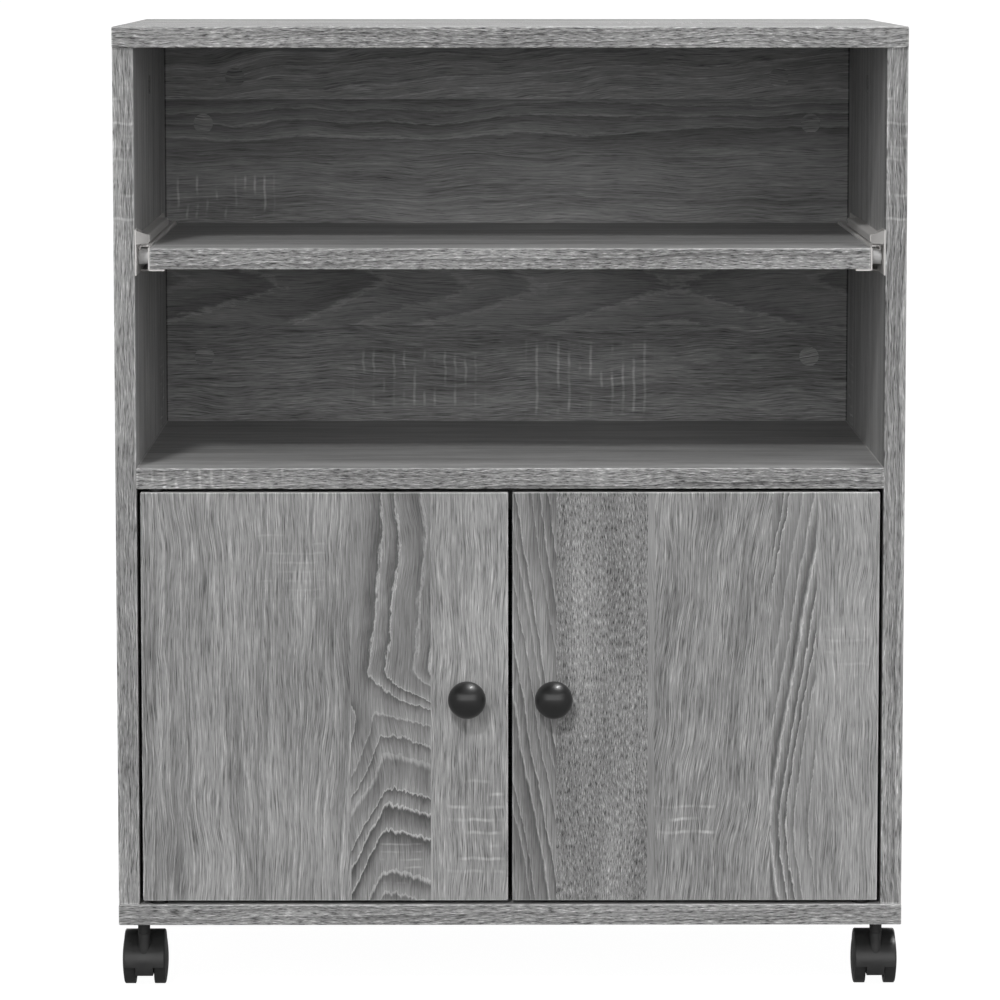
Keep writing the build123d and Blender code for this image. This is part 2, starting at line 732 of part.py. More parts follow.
def caster_wheel(x, y, trail, hand):
    """Wheel with a domed outer face and a recess on its inner face."""
    centre = (x, y + trail * caster_trail, wheel_radius)
    inner = wheel_gap / 2
    rim = inner + wheel_width
    bore = axle_radius + running_gap
    bore_end = axle_half + side_play
    with BuildPart() as wheel:
        with BuildSketch(Plane(origin=centre, x_dir=(hand, 0, 0), z_dir=(0, -hand, 0))):
            with BuildLine():
                Polyline((rim + wheel_dome, 0), (bore_end, 0), (bore_end, bore), (inner, bore),
                         (inner, wheel_hub_radius), (inner + wheel_recess, wheel_hub_radius),
                         (inner + wheel_recess, wheel_recess_radius), (inner, wheel_recess_radius),
                         (inner, wheel_radius), (rim, wheel_radius))
                TangentArc((rim + wheel_dome, 0), (rim, wheel_radius), tangent=(0, 1))
            make_face()
        revolve(axis=Axis(centre, (1, 0, 0)))
        tread = wheel.faces().filter_by(GeomType.CYLINDER).sort_by(SortBy.AREA)[-1]
        fillet(tread.edges().filter_by(GeomType.CIRCLE), wheel_edge_round)
    return wheel


for place, (x, y, trail) in caster_places.items():
    keep(hood(x, y, trail), f"{place}_caster_hood")
    with BuildPart() as axle:
        with Locations(Plane(origin=(x, y + trail * caster_trail, wheel_radius), z_dir=(1, 0, 0))):
            Cylinder(axle_radius, 2 * axle_half)
    keep(axle, f"{place}_caster_axle")
    for hand, side in SIDES.items():
        keep(caster_wheel(x, y, trail, side), f"{place}_caster_{hand}_wheel")

with BuildPart() as caster_stems:
    pegs(stem_seats, stem_thread_radius, stem_thread)
    pegs(flipped(stem_seats), stem_collar_radius, caster_height - hood_top - end_play)
    pegs(flipped(stem_seats), stem_radius, caster_height - hood_top + stem_depth - end_play)
keep(caster_stems, "caster_stems")

with BuildPart() as caster_inserts:
    pegs(stem_seats, insert_radius, insert_depth)
    drill(flipped(stem_seats), stem_thread_radius, insert_depth)
keep(caster_inserts, "caster_inserts")
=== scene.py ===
"""Looks of a printer cart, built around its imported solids.

The boards are faced with a grey oak print, the shelf runs on enamelled runners, the knobs are
glossy and the casters are moulded. Everything is in metres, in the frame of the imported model:
X to the right, Y to the back, Z up. Only staves and saw marks are given in millimetres.
"""

import functools
import logging
import math
from dataclasses import MISSING, dataclass, fields
from enum import Enum
from typing import Callable, Iterable

import bmesh
import bpy
from mathutils import Matrix, Vector


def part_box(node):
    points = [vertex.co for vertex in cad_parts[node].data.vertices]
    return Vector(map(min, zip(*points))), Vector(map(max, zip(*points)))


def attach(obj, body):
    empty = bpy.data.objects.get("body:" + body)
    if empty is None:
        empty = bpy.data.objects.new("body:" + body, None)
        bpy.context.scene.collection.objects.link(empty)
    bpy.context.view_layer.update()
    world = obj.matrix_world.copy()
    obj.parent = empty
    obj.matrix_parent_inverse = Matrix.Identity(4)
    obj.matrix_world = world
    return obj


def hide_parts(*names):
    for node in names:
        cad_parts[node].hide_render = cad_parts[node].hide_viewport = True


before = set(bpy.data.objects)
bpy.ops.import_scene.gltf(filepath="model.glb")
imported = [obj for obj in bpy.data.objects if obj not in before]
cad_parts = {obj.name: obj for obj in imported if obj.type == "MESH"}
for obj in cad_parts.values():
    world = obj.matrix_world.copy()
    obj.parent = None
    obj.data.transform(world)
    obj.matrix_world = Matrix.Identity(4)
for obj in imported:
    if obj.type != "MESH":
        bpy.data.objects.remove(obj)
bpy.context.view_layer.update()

log = logging.getLogger("printer_cart")

Socket = bpy.types.NodeSocket
Point = tuple[float, float, float]

HANDS = ("left", "right")
ENDS = ("front", "rear")
MM = 0.001
NOWHERE = (0.0, 0.0, 0.0)
RIGHTWARD, BACKWARD, UPWARD = (1.0, 0.0, 0.0), (0.0, 1.0, 0.0), (0.0, 0.0, 1.0)
FORWARD, DOWNWARD = (0.0, -1.0, 0.0), (0.0, 0.0, -1.0)
WHITE = (1.0, 1.0, 1.0, 1.0)

# Edges of the new pieces that turn by more degrees than this are sharp.
SHARP_TURN = 34

# Nine stops that turn the print's shade, from 0 to 1, into the lightness of its grey.
PRINT_STOPS = tuple((step / 8, min(1.33 * (step / 8) ** 2.2, 0.95)) for step in range(9))

# How far a seed moves a noise along and across the grain.
SEED_ALONG, SEED_ACROSS = 7.3, 3.9

# Noises of the print: length and width of their features in millimetres, then octaves and roughness.
DRIFT = (95, 55)
RIPPLE = (38, 9)
TEETH = (13, 3.4, 4.0, 0.62)
THREADS = (70, 0.9, 2.5, 0.75)
CLOUDS = (150, 19, 2.0)
SAW_BEND = (16, 16)

# The same of two noises whose places are counted in rings and in saw marks.
RING_WANDER = (1.7, 1.0)
SAW_BREAKS = (34, 0.31, 3.0)

# Lengths of the pores as dashes and as specks, then their width, octaves and roughness.
DASH_LENGTHS = (24, 2.2)
DASHES = (0.75, 2.0, 0.7)

# Cosine to the grain from which a face is the board's cut end.
END_FACING = 0.7

# Distances from a board's edge at which the band that gets a painted highlight, or painted shade, and extra
# gloss ends and is whole.
EDGE_BAND = (1.5 * MM, 0.5 * MM)

# Where, from the waist of the rings, their calmer part begins and is whole, in millimetres.
PAST_WAIST = (-25, 25)

# Rings: their fine waver in millimetres, their uneven spacing in rings, the bluntness of their tips in
# square millimetres, the least and the further strength of one ring, and how fast its dark side fades.
RING_RIPPLE = 1.4
RING_UNEVENNESS = 1.9
TIP_BLUNTNESS = 150.0
LEAST_FORCE, MORE_FORCE = 0.45, 0.9
LATE_FADE = 1.4

# Where along a ring its dark line ends, and where its dark side begins.
LINE_END = (0.15, 0.03)
LATE_START = (0.07, 0.2)

# Where in their noises the cut fibres, the pores and the light glints begin and are whole.
CUTS = (0.58, 0.74)
PORES = (0.54, 0.70)
GLINTS = (0.45, 0.28)

# Saw marks: how far they bend in marks, how thin they are, where they break off and how their patch ends.
SAW_BOW = 0.35
SAW_LINE = (0.19, 0.03)
SAW_GAPS = (0.40, 0.62)
SAW_SOFT_END = (1.0, 0.7)

# Rubbed edges: their radius, how far they turn where they begin and are whole, and the scale and octaves
# of the noise that leaves gaps in them, with its limits.
RUB_RADIUS = 0.35 * MM
RUB_TURN = (0.02, 0.2)
RUB_PATCHES = (420.0, 3.0)
RUB_GAPS = (0.45, 0.6)

# Skins: the scale of their slow waves, then the dust's scale and octaves, its gaps and its slopes.
WAVES = 90.0
DUST_SPECKS = (700.0, 4.0)
DUST_GAPS = (0.45, 0.8)
DUST_SLOPES = (0.5, 1.0)

# How much each part of the print adds to its shade or takes from it, and the shade under them.
BODY_SHADE = 0.562
CLOUD_SHADE = 0.20
STREAK_SHADE = 0.42
GLINT_SHADE = 0.13
PORE_SHADE = 0.17
CUT_SHADE = 0.14
RING_LINE_SHADE = 0.45

# How far the dark side of a ring hides the fibres and pores, and how far the glints stand out.
LATE_HIDES = 2.2
GLINT_RELIEF = 0.3


def sign(operation: str, swapped: bool = False) -> Callable[["Wire", "Feed"], "Wire"]:
    """Makes the method for one of Python's signs.

    Args:
        operation: The name of the Math node's operation.
        swapped: Whether the wire stands on the sign's right.

    Returns:
        The method.
    """
    def work(wire: "Wire", other: "Feed") -> "Wire":
        """Lays the node."""
        return wire.bench.maths(operation, *((other, wire) if swapped else (wire, other)))
    return work


class Wire:
    """A number or a vector in a shader tree, which Python's signs work on.

    Args:
        bench: The bench that lays the tree's nodes.
        socket: The output that it comes from.
    """

    def __init__(self, bench: "ShaderBench", socket: Socket) -> None:
        """Keeps the bench and the socket."""
        self.bench, self.socket = bench, socket

    def __abs__(self) -> "Wire":
        """Takes away the minus."""
        return self.bench.maths("ABSOLUTE", self)

    __add__, __radd__ = sign("ADD"), sign("ADD", True)
    __sub__, __rsub__ = sign("SUBTRACT"), sign("SUBTRACT", True)
    __mul__, __truediv__ = sign("MULTIPLY"), sign("DIVIDE")
    __pow__ = sign("POWER")
    __gt__, __lt__ = sign("GREATER_THAN"), sign("LESS_THAN")


Feed = float | tuple[float, ...] | Socket | Wire


class ShaderBench:
    """Lays shader nodes in one tree and wires them.

    Args:
        tree: The tree of a material, a world or an effect.
    """

    def __init__(self, tree: bpy.types.NodeTree) -> None:
        """Keeps the tree to work in."""
        self.tree = tree

    def feed(self, socket: Socket, value: Feed) -> None:
        """Links a socket to an output, or sets its value.

        Args:
            socket: The input to fill.
            value: An output, or a constant.
        """
        source = value.socket if isinstance(value, Wire) else value
        if isinstance(source, bpy.types.NodeSocket):
            self.tree.links.new(source, socket)
        else:
            socket.default_value = source

    def lay(self, kind: str, *feeds: Feed, **settings: object) -> bpy.types.Node:
        """Adds a node.

        Args:
            kind: Blender's name for the node's type, without the words ShaderNode.
            feeds: What its first inputs take.
            settings: Properties to set on it.

        Returns:
            The new node.
        """
        node = self.tree.nodes.new(f"ShaderNode{kind}")
        for name, value in settings.items():
            setattr(node, name, value)
        for socket, value in zip(node.inputs, feeds):
            self.feed(socket, value)
        return node

    def maths(self, operation: str, *values: Feed, clamp: bool = False) -> Wire:
        """Works out a number, by the name of the Math node's operation."""
        return Wire(self, self.lay("Math", *values, operation=operation, use_clamp=clamp).outputs[0])

    def vector(self, operation: str, first: Feed, second: Feed) -> Wire:
        """Works out a vector, by the name of the Vector Math node's operation."""
        return Wire(self, self.lay("VectorMath", first, second, operation=operation).outputs[0])

    def dot(self, first: Feed, second: Feed) -> Wire:
        """Works out how far one vector goes along another."""
        return Wire(self, self.lay("VectorMath", first, second, operation="DOT_PRODUCT").outputs["Value"])

    def join(self, *numbers: Feed) -> Wire:
        """Joins three numbers to a vector."""
        return Wire(self, self.lay("CombineXYZ", *numbers).outputs[0])

    def split(self, vector: Feed) -> tuple[Wire, ...]:
        """Splits a vector into three numbers."""
        return tuple(Wire(self, socket) for socket in self.lay("SeparateXYZ", vector).outputs)

    def noise(self, place: Feed, scale: float, detail: float = 2.0, rough: float = 0.5,
              dimensions: str = "3D") -> Wire:
        """Lays a noise.

        Args:
            place: The coordinates.
            scale: Waves per unit of the coordinates.
            detail: Octaves.
            rough: Strength of the finer octaves.
            dimensions: Blender's name for the number of its dimensions.

        Returns:
            The noise, from 0 to 1.
        """
        node = self.lay("TexNoise", noise_dimensions=dimensions)
        for name, value in (("Vector", place), ("Scale", scale), ("Detail", detail), ("Roughness", rough)):
            self.feed(node.inputs[name], value)
        return Wire(self, node.outputs[0])

    def grain(self, along: Feed, across: Feed, seed: Feed, length: Feed, width: Feed, detail: float = 1.0,
              rough: float = 0.5) -> Wire:
        """Lays a flat noise stretched along the grain.

        Args:
            along: Place along the grain, in millimetres.
            across: Place across the grain, in millimetres.
            seed: Place in the noise.
            length: Length of its features.
            width: Width of its features.
            detail: Octaves.
            rough: Strength of the finer octaves.

        Returns:
            The noise, from 0 to 1.
        """
        place = self.join(
            self.maths("MULTIPLY_ADD", seed, SEED_ALONG, self.maths("DIVIDE", along, length)),
            self.maths("MULTIPLY_ADD", seed, SEED_ACROSS, self.maths("DIVIDE", across, width)), 0.0)
        return self.noise(place, 1.0, detail, rough, "2D")

    def between(self, value: Feed, low: Feed, high: Feed, out_low: Feed = 0.0, out_high: Feed = 1.0) -> Wire:
        """Eases a number from the range of low to high to that of out_low to out_high, with soft ends."""
        node = self.lay("MapRange", value, low, high, out_low, out_high, interpolation_type="SMOOTHSTEP")
        return Wire(self, node.outputs[0])

    def blend(self, share: Feed, first: Feed, second: Feed, vectors: bool = False) -> Wire:
        """Mixes two numbers or two vectors.

        Args:
            share: The second one's share.
            first: The first one.
            second: The second one.
            vectors: Whether they are vectors.

        Returns:
            The mix.
        """
        node = self.lay("Mix", share, data_type="VECTOR" if vectors else "FLOAT")
        start = 4 if vectors else 2
        self.feed(node.inputs[start], first)
        self.feed(node.inputs[start + 1], second)
        return Wire(self, node.outputs[int(vectors)])

    def tint(self, share: Feed, stops: Iterable[tuple[float, float]], warmth: float = 0.0) -> Wire:
        """Turns a number into a lightness by its stops, with red over blue by the warmth's share of it."""
        return self.ramp(share, ((place, (light * (1 + warmth), light, light * (1 - warmth)))
                                 for place, light in stops))

    def ramp(self, share: Feed, stops: Iterable[tuple[float, Point]]) -> Wire:
        """Turns a number into a colour.

        Args:
            share: The number, from 0 to 1.
            stops: Pairs of a place on that range and a colour.

        Returns:
            The colour.
        """
        node = self.lay("ValToRGB", share)
        stops = tuple(stops)
        elements = node.color_ramp.elements
        while len(elements) < len(stops):
            elements.new(1.0)
        for element, (place, colour) in zip(elements, stops):
            element.position = place
            element.color = (*colour, 1.0)
        return Wire(self, node.outputs[0])

    def effect(self, tree: bpy.types.NodeTree, **values: Feed) -> tuple[Wire, ...]:
        """Places a shared effect.

        Args:
            tree: The effect's node group.
            values: Its inputs, by their names in lower case.

        Returns:
            Its outputs.
        """
        node = self.lay("Group", node_tree=tree)
        for name, value in values.items():
            self.feed(node.inputs[name.capitalize()], value)
        return tuple(Wire(self, socket) for socket in node.outputs)


def open_effect(name: str, inputs: dict[str, float | Point], *outputs: str) -> tuple[
        ShaderBench, dict[str, Wire], dict[str, Socket]]:
    """Starts a shared effect as a node group with named sockets.

    Args:
        name: The effect's name.
        inputs: Defaults of its inputs, numbers or vectors, by name.
        outputs: The names of the numbers that it puts out.

    Returns:
        The bench to build it on, its inputs as wires by name, and the sockets that take its outputs.
    """
    tree = bpy.data.node_groups.new(name, "ShaderNodeTree")
    for label, default in inputs.items():
        kind = "NodeSocketVector" if isinstance(default, tuple) else "NodeSocketFloat"
        tree.interface.new_socket(label, in_out="INPUT", socket_type=kind).default_value = default
    for label in outputs:
        tree.interface.new_socket(label, in_out="OUTPUT", socket_type="NodeSocketFloat")
    bench = ShaderBench(tree)
    given = tree.nodes.new("NodeGroupInput").outputs
    made = tree.nodes.new("NodeGroupOutput").inputs
    return bench, {name: Wire(bench, given[name]) for name in inputs}, {name: made[name] for name in outputs}


@functools.cache
def board_grain() -> bpy.types.NodeTree:
    """Finds how far along and across the grain a point of a board lies, on faces and banded edges.

    Returns:
        The effect, which puts out millimetres from the board's corner, and how near an edge the point is.
    """
    ways = dict.fromkeys(("Position", "Normal", "Corner", "Opposite", "Run", "Side", "Through"), NOWHERE)
    bench, given, made = open_effect("board_grain", ways, "Along", "Across", "Edge")
    inside = bench.vector("SUBTRACT", given["Position"], given["Corner"])
    run, side, through = (bench.dot(inside, given[way]) * (1 / MM) for way in ("Run", "Side", "Through"))
    end = abs(bench.dot(given["Normal"], given["Run"])) > END_FACING
    bench.feed(made["Along"], bench.blend(end, run, side))
    bench.feed(made["Across"], bench.blend(end, side + through, through + run))
    beyond = bench.vector("SUBTRACT", given["Opposite"], given["Position"])
    x, y, z = bench.split(bench.vector("MINIMUM", inside, beyond))
    least = bench.maths("MINIMUM", bench.maths("MINIMUM", x, y), z)
    most = bench.maths("MAXIMUM", bench.maths("MAXIMUM", x, y), z)
    bench.feed(made["Edge"], bench.between(x + y + z - least - most, *EDGE_BAND))
    return bench.tree


@functools.cache
def oak_print() -> bpy.types.NodeTree:
    """Draws the print of one stave of oak: growth rings cut lengthwise, fibres, pores and short specks.

    Returns:
        The effect.
    """
    inputs = {"Along": 0.0, "Across": 0.0}
    for quality in fields(Stave)[1:]:
        inputs[quality.name.capitalize()] = 0.0 if quality.default is MISSING else quality.default
    bench, given, made = open_effect("oak_print", inputs, "Shade", "Relief")
    along, flat, seed, waist = given["Along"], given["Across"], given["Seed"], given["Waist"]
    drift = (bench.grain(along, flat, seed, *DRIFT) - 0.5) * given["Wander"]
    ripple = (bench.grain(along, flat, seed, *RIPPLE) - 0.5) * RING_RIPPLE
    across = bench.maths("MULTIPLY_ADD", along, given["Lean"], flat) + (drift + ripple)

    teeth = (bench.grain(along, across, seed, *TEETH) - 0.5) * given["Jag"]
    above = bench.between(along - waist, *PAST_WAIST)
    calmer = 1.0 - above * given["Calm"]
    off = across - bench.maths("MULTIPLY_ADD", above, given["Shift"], given["Centre"])
    steep = bench.maths("MULTIPLY_ADD", bench.maths("SIGN", off), given["Skew"] * calmer, 1.0)
    radius = bench.maths("SQRT", abs(off * steep) ** 2.0 + given["Depth"] ** 2.0)
    from_waist = bench.maths("SQRT", abs(along - waist) ** 2.0 + TIP_BLUNTNESS)
    grown = radius - from_waist * (given["Taper"] * calmer) + teeth
    turns = grown * -1.0 / given["Pitch"]
    phase = turns + bench.grain(turns, seed, seed, *RING_WANDER) * RING_UNEVENNESS
    ring = bench.maths("FRACT", phase)
    which = bench.lay("TexWhiteNoise", noise_dimensions="1D")
    bench.feed(which.inputs["W"], bench.maths("FLOOR", phase) + seed)
    force = bench.maths("MULTIPLY_ADD", which.outputs["Value"], MORE_FORCE, LEAST_FORCE) * given["Bands"]
    late = bench.between(ring, *LATE_START) * (1.0 - ring) ** LATE_FADE
    bands = (bench.between(ring, *LINE_END) * RING_LINE_SHADE - late) * force

    threads = bench.grain(along, across, seed, *THREADS)
    dashes = bench.grain(along, across, seed, bench.blend(given["Specks"], *DASH_LENGTHS), *DASHES)
    clouds = (bench.grain(along, across, seed, *CLOUDS) - 0.5) * CLOUD_SHADE
    cuts = bench.between(threads, *CUTS) * given["Fibres"]
    streaks = (threads - 0.5) * given["Fibres"]
    pores = bench.between(dashes, *PORES) * given["Pores"]
    glints = bench.between(dashes, *GLINTS) * given["Pores"]
    dark = pores * PORE_SHADE + cuts * CUT_SHADE
    texture = streaks * STREAK_SHADE + glints * GLINT_SHADE - dark
    smooth = bench.maths("MULTIPLY_ADD", late * force, -LATE_HIDES, 1.0, clamp=True)
    bench.feed(made["Shade"], BODY_SHADE + given["Tone"] + clouds + bands + texture * smooth)
    bench.feed(made["Relief"], glints * GLINT_RELIEF - dark)
    return bench.tree


@functools.cache
def saw_marks() -> bpy.types.NodeTree:
    """Draws light marks of a saw across the grain, in one soft-edged patch.

    Returns:
        The effect.
    """
    bench, given, made = open_effect("saw_marks", {
        "Along": 0.0, "Across": 0.0, "Middle": 0.0, "Reach": 50.0, "Beside": 0.0, "Breadth": 50.0,
        "Spacing": 7.0}, "Marks")
    along, across, middle = given["Along"], given["Across"], given["Middle"]
    turns = along / given["Spacing"] + bench.grain(across, middle, 0.0, *SAW_BEND) * SAW_BOW
    line = bench.between(abs(bench.maths("FRACT", turns) - 0.5), *SAW_LINE)
    broken = bench.between(bench.grain(across, bench.maths("FLOOR", turns), 3.0, *SAW_BREAKS), *SAW_GAPS)
    far_along = abs(along - middle) / given["Reach"]
    far_across = abs(across - given["Beside"]) / given["Breadth"]
    patch = bench.between(bench.maths("MAXIMUM", far_along, far_across), *SAW_SOFT_END)
    bench.feed(made["Marks"], line * broken * patch)
    return bench.tree


@functools.cache
def rubbed_edge() -> bpy.types.NodeTree:
    """Finds the edges of a piece, where its finish has rubbed.

    Returns:
        The effect.
    """
    bench, given, made = open_effect("rubbed_edge", {"Position": NOWHERE, "Amount": 0.5}, "Rub")
    rounded = bench.lay("Bevel", RUB_RADIUS, samples=4)
    same = bench.dot(rounded.outputs[0], bench.lay("NewGeometry").outputs["Normal"])
    edge = bench.between(1.0 - same, *RUB_TURN)
    patchy = bench.between(bench.noise(given["Position"], *RUB_PATCHES), *RUB_GAPS)
    bench.feed(made["Rub"], bench.maths("MULTIPLY", edge * patchy, given["Amount"], clamp=True))
    return bench.tree


@functools.cache
def moulded_skin() -> bpy.types.NodeTree:
    """Draws the skin of a moulded or coated piece: a fine texture over slow waves, and settled dust.

    Returns:
        The effect.
    """
    bench, given, made = open_effect("moulded_skin", {
        "Position": NOWHERE, "Normal": NOWHERE, "Grain": 1400.0}, "Height", "Patch", "Dust")
    place, grain = given["Position"], given["Grain"]
    fine = bench.noise(bench.vector("MULTIPLY", place, bench.join(grain, grain, grain)), 1.0)
    slow = bench.noise(place, WAVES)
    up = bench.dot(given["Normal"], UPWARD)
    dust = bench.between(up, *DUST_SLOPES) * bench.between(bench.noise(place, *DUST_SPECKS), *DUST_GAPS)
    bench.feed(made["Height"], fine + slow * 2.0)
    bench.feed(made["Patch"], slow)
    bench.feed(made["Dust"], dust)
    return bench.tree


class BoardLay(Enum):
    """How a board stands: the directions of its grain, its width and its thickness."""

    LYING = (RIGHTWARD, BACKWARD, UPWARD)
    BACK = (RIGHTWARD, UPWARD, BACKWARD)
    SIDE = (UPWARD, BACKWARD, RIGHTWARD)
    DOOR = (UPWARD, RIGHTWARD, BACKWARD)


@dataclass(frozen=True)
class Stave:
    """One stave of the oak print, in millimetres.

    Args:
        start: Where it starts, across the grain from the board's corner.
        seed: Place in the noise.
        centre: Where the tree's middle lies, across the grain.
        depth: How far behind the face the tree's middle lies.
        waist: Place along the grain that the rings' tips point to.
        taper: How fast the rings widen away from the waist.
        skew: How much closer the rings lie on the far side of the centre.
        shift: How far over the tree's middle lies beyond the waist.
        calm: How much of the taper and the skew is lost beyond the waist.
        pitch: Distance between rings.
        jag: How ragged the rings are.
        bands: Contrast of the rings.
        wander: How far the grain drifts.
        lean: Slope of the grain.
        tone: Added lightness.
        fibres: Strength of the long fibres.
        pores: Strength of the pores.
        specks: Share of the pores' length that is lost, so that they are specks.
    """

    start: float
    seed: float
    centre: float = 350.0
    depth: float = 20.0
    waist: float = 0.0
    taper: float = 0.0
    skew: float = 0.0
    shift: float = 0.0
    calm: float = 0.0
    pitch: float = 6.0
    jag: float = 1.0
    bands: float = 0.10
    wander: float = 12.0
    lean: float = 0.0
    tone: float = 0.0
    fibres: float = 1.0
    pores: float = 1.0
    specks: float = 0.0


@dataclass(frozen=True)
class SawPatch:
    """One patch of saw marks, in millimetres.

    Args:
        middle: Its middle along the grain, from the board's corner.
        reach: Half its length.
        beside: Its middle across the grain.
        breadth: Half its breadth.
        spacing: Distance between marks.
        strength: How light they are.
    """

    middle: float
    reach: float
    beside: float
    breadth: float
    spacing: float = 7.0
    strength: float = 0.13


class Surface(ShaderBench):
    """The bench of a material's tree, with its shader and its coordinates.

    Args:
        tree: The material's tree.
    """

    def __init__(self, tree: bpy.types.NodeTree) -> None:
        """Finds the shader and lays the coordinates."""
        super().__init__(tree)
        self.shader = tree.nodes["Principled BSDF"]
        spots = self.lay("TexCoord").outputs
        self.place, self.normal = spots["Object"], spots["Normal"]

    def fill(self, **values: Feed) -> None:
        """Feeds the shader's inputs, by their names in lower case with underscores."""
        for name, value in values.items():
            self.feed(self.shader.inputs[name.replace("_", " ").title()], value)

    def raise_bumps(self, height: Feed, distance: float, strength: float) -> None:
        """Gives the surface bumps.

        Args:
            height: The height, from 0 to 1.
            distance: What a height of 1 stands for, in metres.
            strength: Share of it that shows.
        """
        bump = self.lay("Bump", strength, distance)
        self.feed(bump.inputs["Height"], height)
        self.fill(normal=bump.outputs[0])


class Finish:
    """A material that is made once and shared by the pieces that have it."""

    name: str

    def lay_out(self, bench: Surface) -> None:
        """Fills the shader on the bench of the material's tree."""
        raise NotImplementedError

    @functools.cache
    def material(self) -> bpy.types.Material:
        """Makes the material.

        Returns:
            The material.
        """
        made = bpy.data.materials.new(self.name)
        made.use_nodes = True
        self.lay_out(Surface(made.node_tree))
        return made


@dataclass(frozen=True)
class GreyOak(Finish):
    """Matt melamine with a print of grey oak staves.

    Args:
        name: The material's name.
        lay: How the board stands.
        corner: The board's lowest corner.
        opposite: Its highest corner.
        staves: Its staves, in order across the grain.
        patches: Its patches of saw marks.
        edge_tone: Painted highlight added along its edges as lightness, and painted shade where it is below
            0.
        edge_gloss: Roughness lost along its edges.
        dark_rough: Roughness of the darkest print.
        light_rough: Roughness of the lightest print.
        emboss: Height of the pores' relief, in metres.
    """

    name: str
    lay: BoardLay
    corner: Point
    opposite: Point
    staves: tuple[Stave, ...]
    patches: tuple[SawPatch, ...] = ()
    edge_tone: float = 0.11
    edge_gloss: float = 0.2
    dark_rough: float = 0.62
    light_rough: float = 0.5
    emboss: float = 0.10 * MM

    def stave_here(self, bench: ShaderBench, across: Wire) -> dict[str, Feed]:
        """Picks the qualities of the stave that a point lies on, three at a time.

        Args:
            bench: The bench of the material's tree.
            across: The point's place across the grain.

        Returns:
            Each quality by its name.
        """
        names = [field.name for field in fields(Stave)]
        later = [(stave, across > stave.start) for stave in self.staves[1:]]
        picked = {}
        for first in range(0, len(names), 3):
            trio = names[first:first + 3]
            chosen = tuple(getattr(self.staves[0], name) for name in trio)
            for stave, beyond in later:
                chosen = bench.blend(beyond, chosen, tuple(getattr(stave, name) for name in trio), True)
            picked.update(zip(trio, bench.split(chosen) if later else chosen))
        del picked["start"]
        return picked

    def lay_out(self, bench: Surface) -> None:
        """Fills the shader."""
        run, side, through = self.lay.value
        along, across, edge = bench.effect(board_grain(), position=bench.place, normal=bench.normal,
                                           corner=self.corner, opposite=self.opposite, run=run, side=side,
                                           through=through)
        here = self.stave_here(bench, across)
        shade, relief = bench.effect(oak_print(), along=along, across=across, **here)
        for patch in self.patches:
            lie = {name: getattr(patch, name) for name in ("middle", "reach", "beside", "breadth", "spacing")}
            marks, = bench.effect(saw_marks(), along=along, across=across, **lie)
            shade = bench.maths("MULTIPLY_ADD", marks, patch.strength, shade)
        # Paints a highlight along the board's edges, or shade where the lightness added is below 0.
        shade = bench.maths("MULTIPLY_ADD", edge, self.edge_tone, shade)
        rough = bench.between(shade, 0.3, 0.8, self.dark_rough, self.light_rough)
        bench.fill(base_color=bench.tint(shade, PRINT_STOPS, 0.004),
                   roughness=bench.maths("MULTIPLY_ADD", edge, -self.edge_gloss, rough))
        bench.raise_bumps(relief, self.emboss, 0.4)


@dataclass(frozen=True, kw_only=True)
class Skinned(Finish):
    """A finish with a fine skin that is glossier in patches.

    Args:
        name: The material's name.
        gloss: Roughness where it is glossiest.
        matt: Roughness where it is most matt.
        skin: Height of the skin's texture, in metres.
        grain: Waves of the skin per metre.
        showing: Share of the skin's height that shows.
    """

    name: str
    gloss: float
    matt: float
    skin: float = 0.02 * MM
    grain: float = 1400.0
    showing: float = 0.5

    def lay_out(self, bench: Surface) -> None:
        """Fills the shader."""
        height, patch, dust = bench.effect(moulded_skin(), position=bench.place, normal=bench.normal,
                                           grain=self.grain)
        bench.fill(roughness=bench.between(patch, 0.3, 0.7, self.gloss, self.matt))
        bench.raise_bumps(height, self.skin, self.showing)
        self.colour(bench, patch, dust)

    def colour(self, bench: Surface, patch: Wire, dust: Wire) -> None:
        """Fills what the kinds of skin differ in.

        Args:
            bench: The bench of the material's tree.
            patch: The slow waves of the skin.
            dust: The dust that has settled on it.
        """
        raise NotImplementedError


@dataclass(frozen=True, kw_only=True)
class RunnerEnamel(Skinned):
    """White enamel over sheet steel, with metal showing on rubbed edges.

    Args:
        light: Lightness of the enamel's lightest patches.
        rubbed: Share of the edges' finish that has rubbed.
    """

    light: float = 0.84
    rubbed: float = 0.5

    def colour(self, bench: Surface, patch: Wire, dust: Wire) -> None:
        """Fills the colour and the metal."""
        rub, = bench.effect(rubbed_edge(), position=bench.place, amount=self.rubbed)
        toned = patch * 0.2 + 0.75 - rub * 0.6
        tint = bench.tint(toned, ((0.0, 0.22), (0.5, 0.5), (1.0, self.light)), 0.022)
        bench.fill(base_color=tint, metallic=rub * 0.5)


@dataclass(frozen=True, kw_only=True)
class Moulded(Skinned):
    """Moulded plastic, dusty where it faces up.

    Args:
        dark: Lightness of its darkest patches.
        light: Lightness of its lightest patches and of its dust.
        coat: Weight of the clear gloss over it.
        coat_rough: Roughness of that gloss.
    """

    dark: float
    light: float
    coat: float = 0.0
    coat_rough: float = 0.06

    def colour(self, bench: Surface, patch: Wire, dust: Wire) -> None:
        """Fills the colour and the coat."""
        toned = patch * 0.6 + dust * 0.35
        bench.fill(base_color=bench.tint(toned, ((0.2, self.dark), (0.9, self.light))), coat_weight=self.coat,
                   coat_roughness=self.coat_rough)


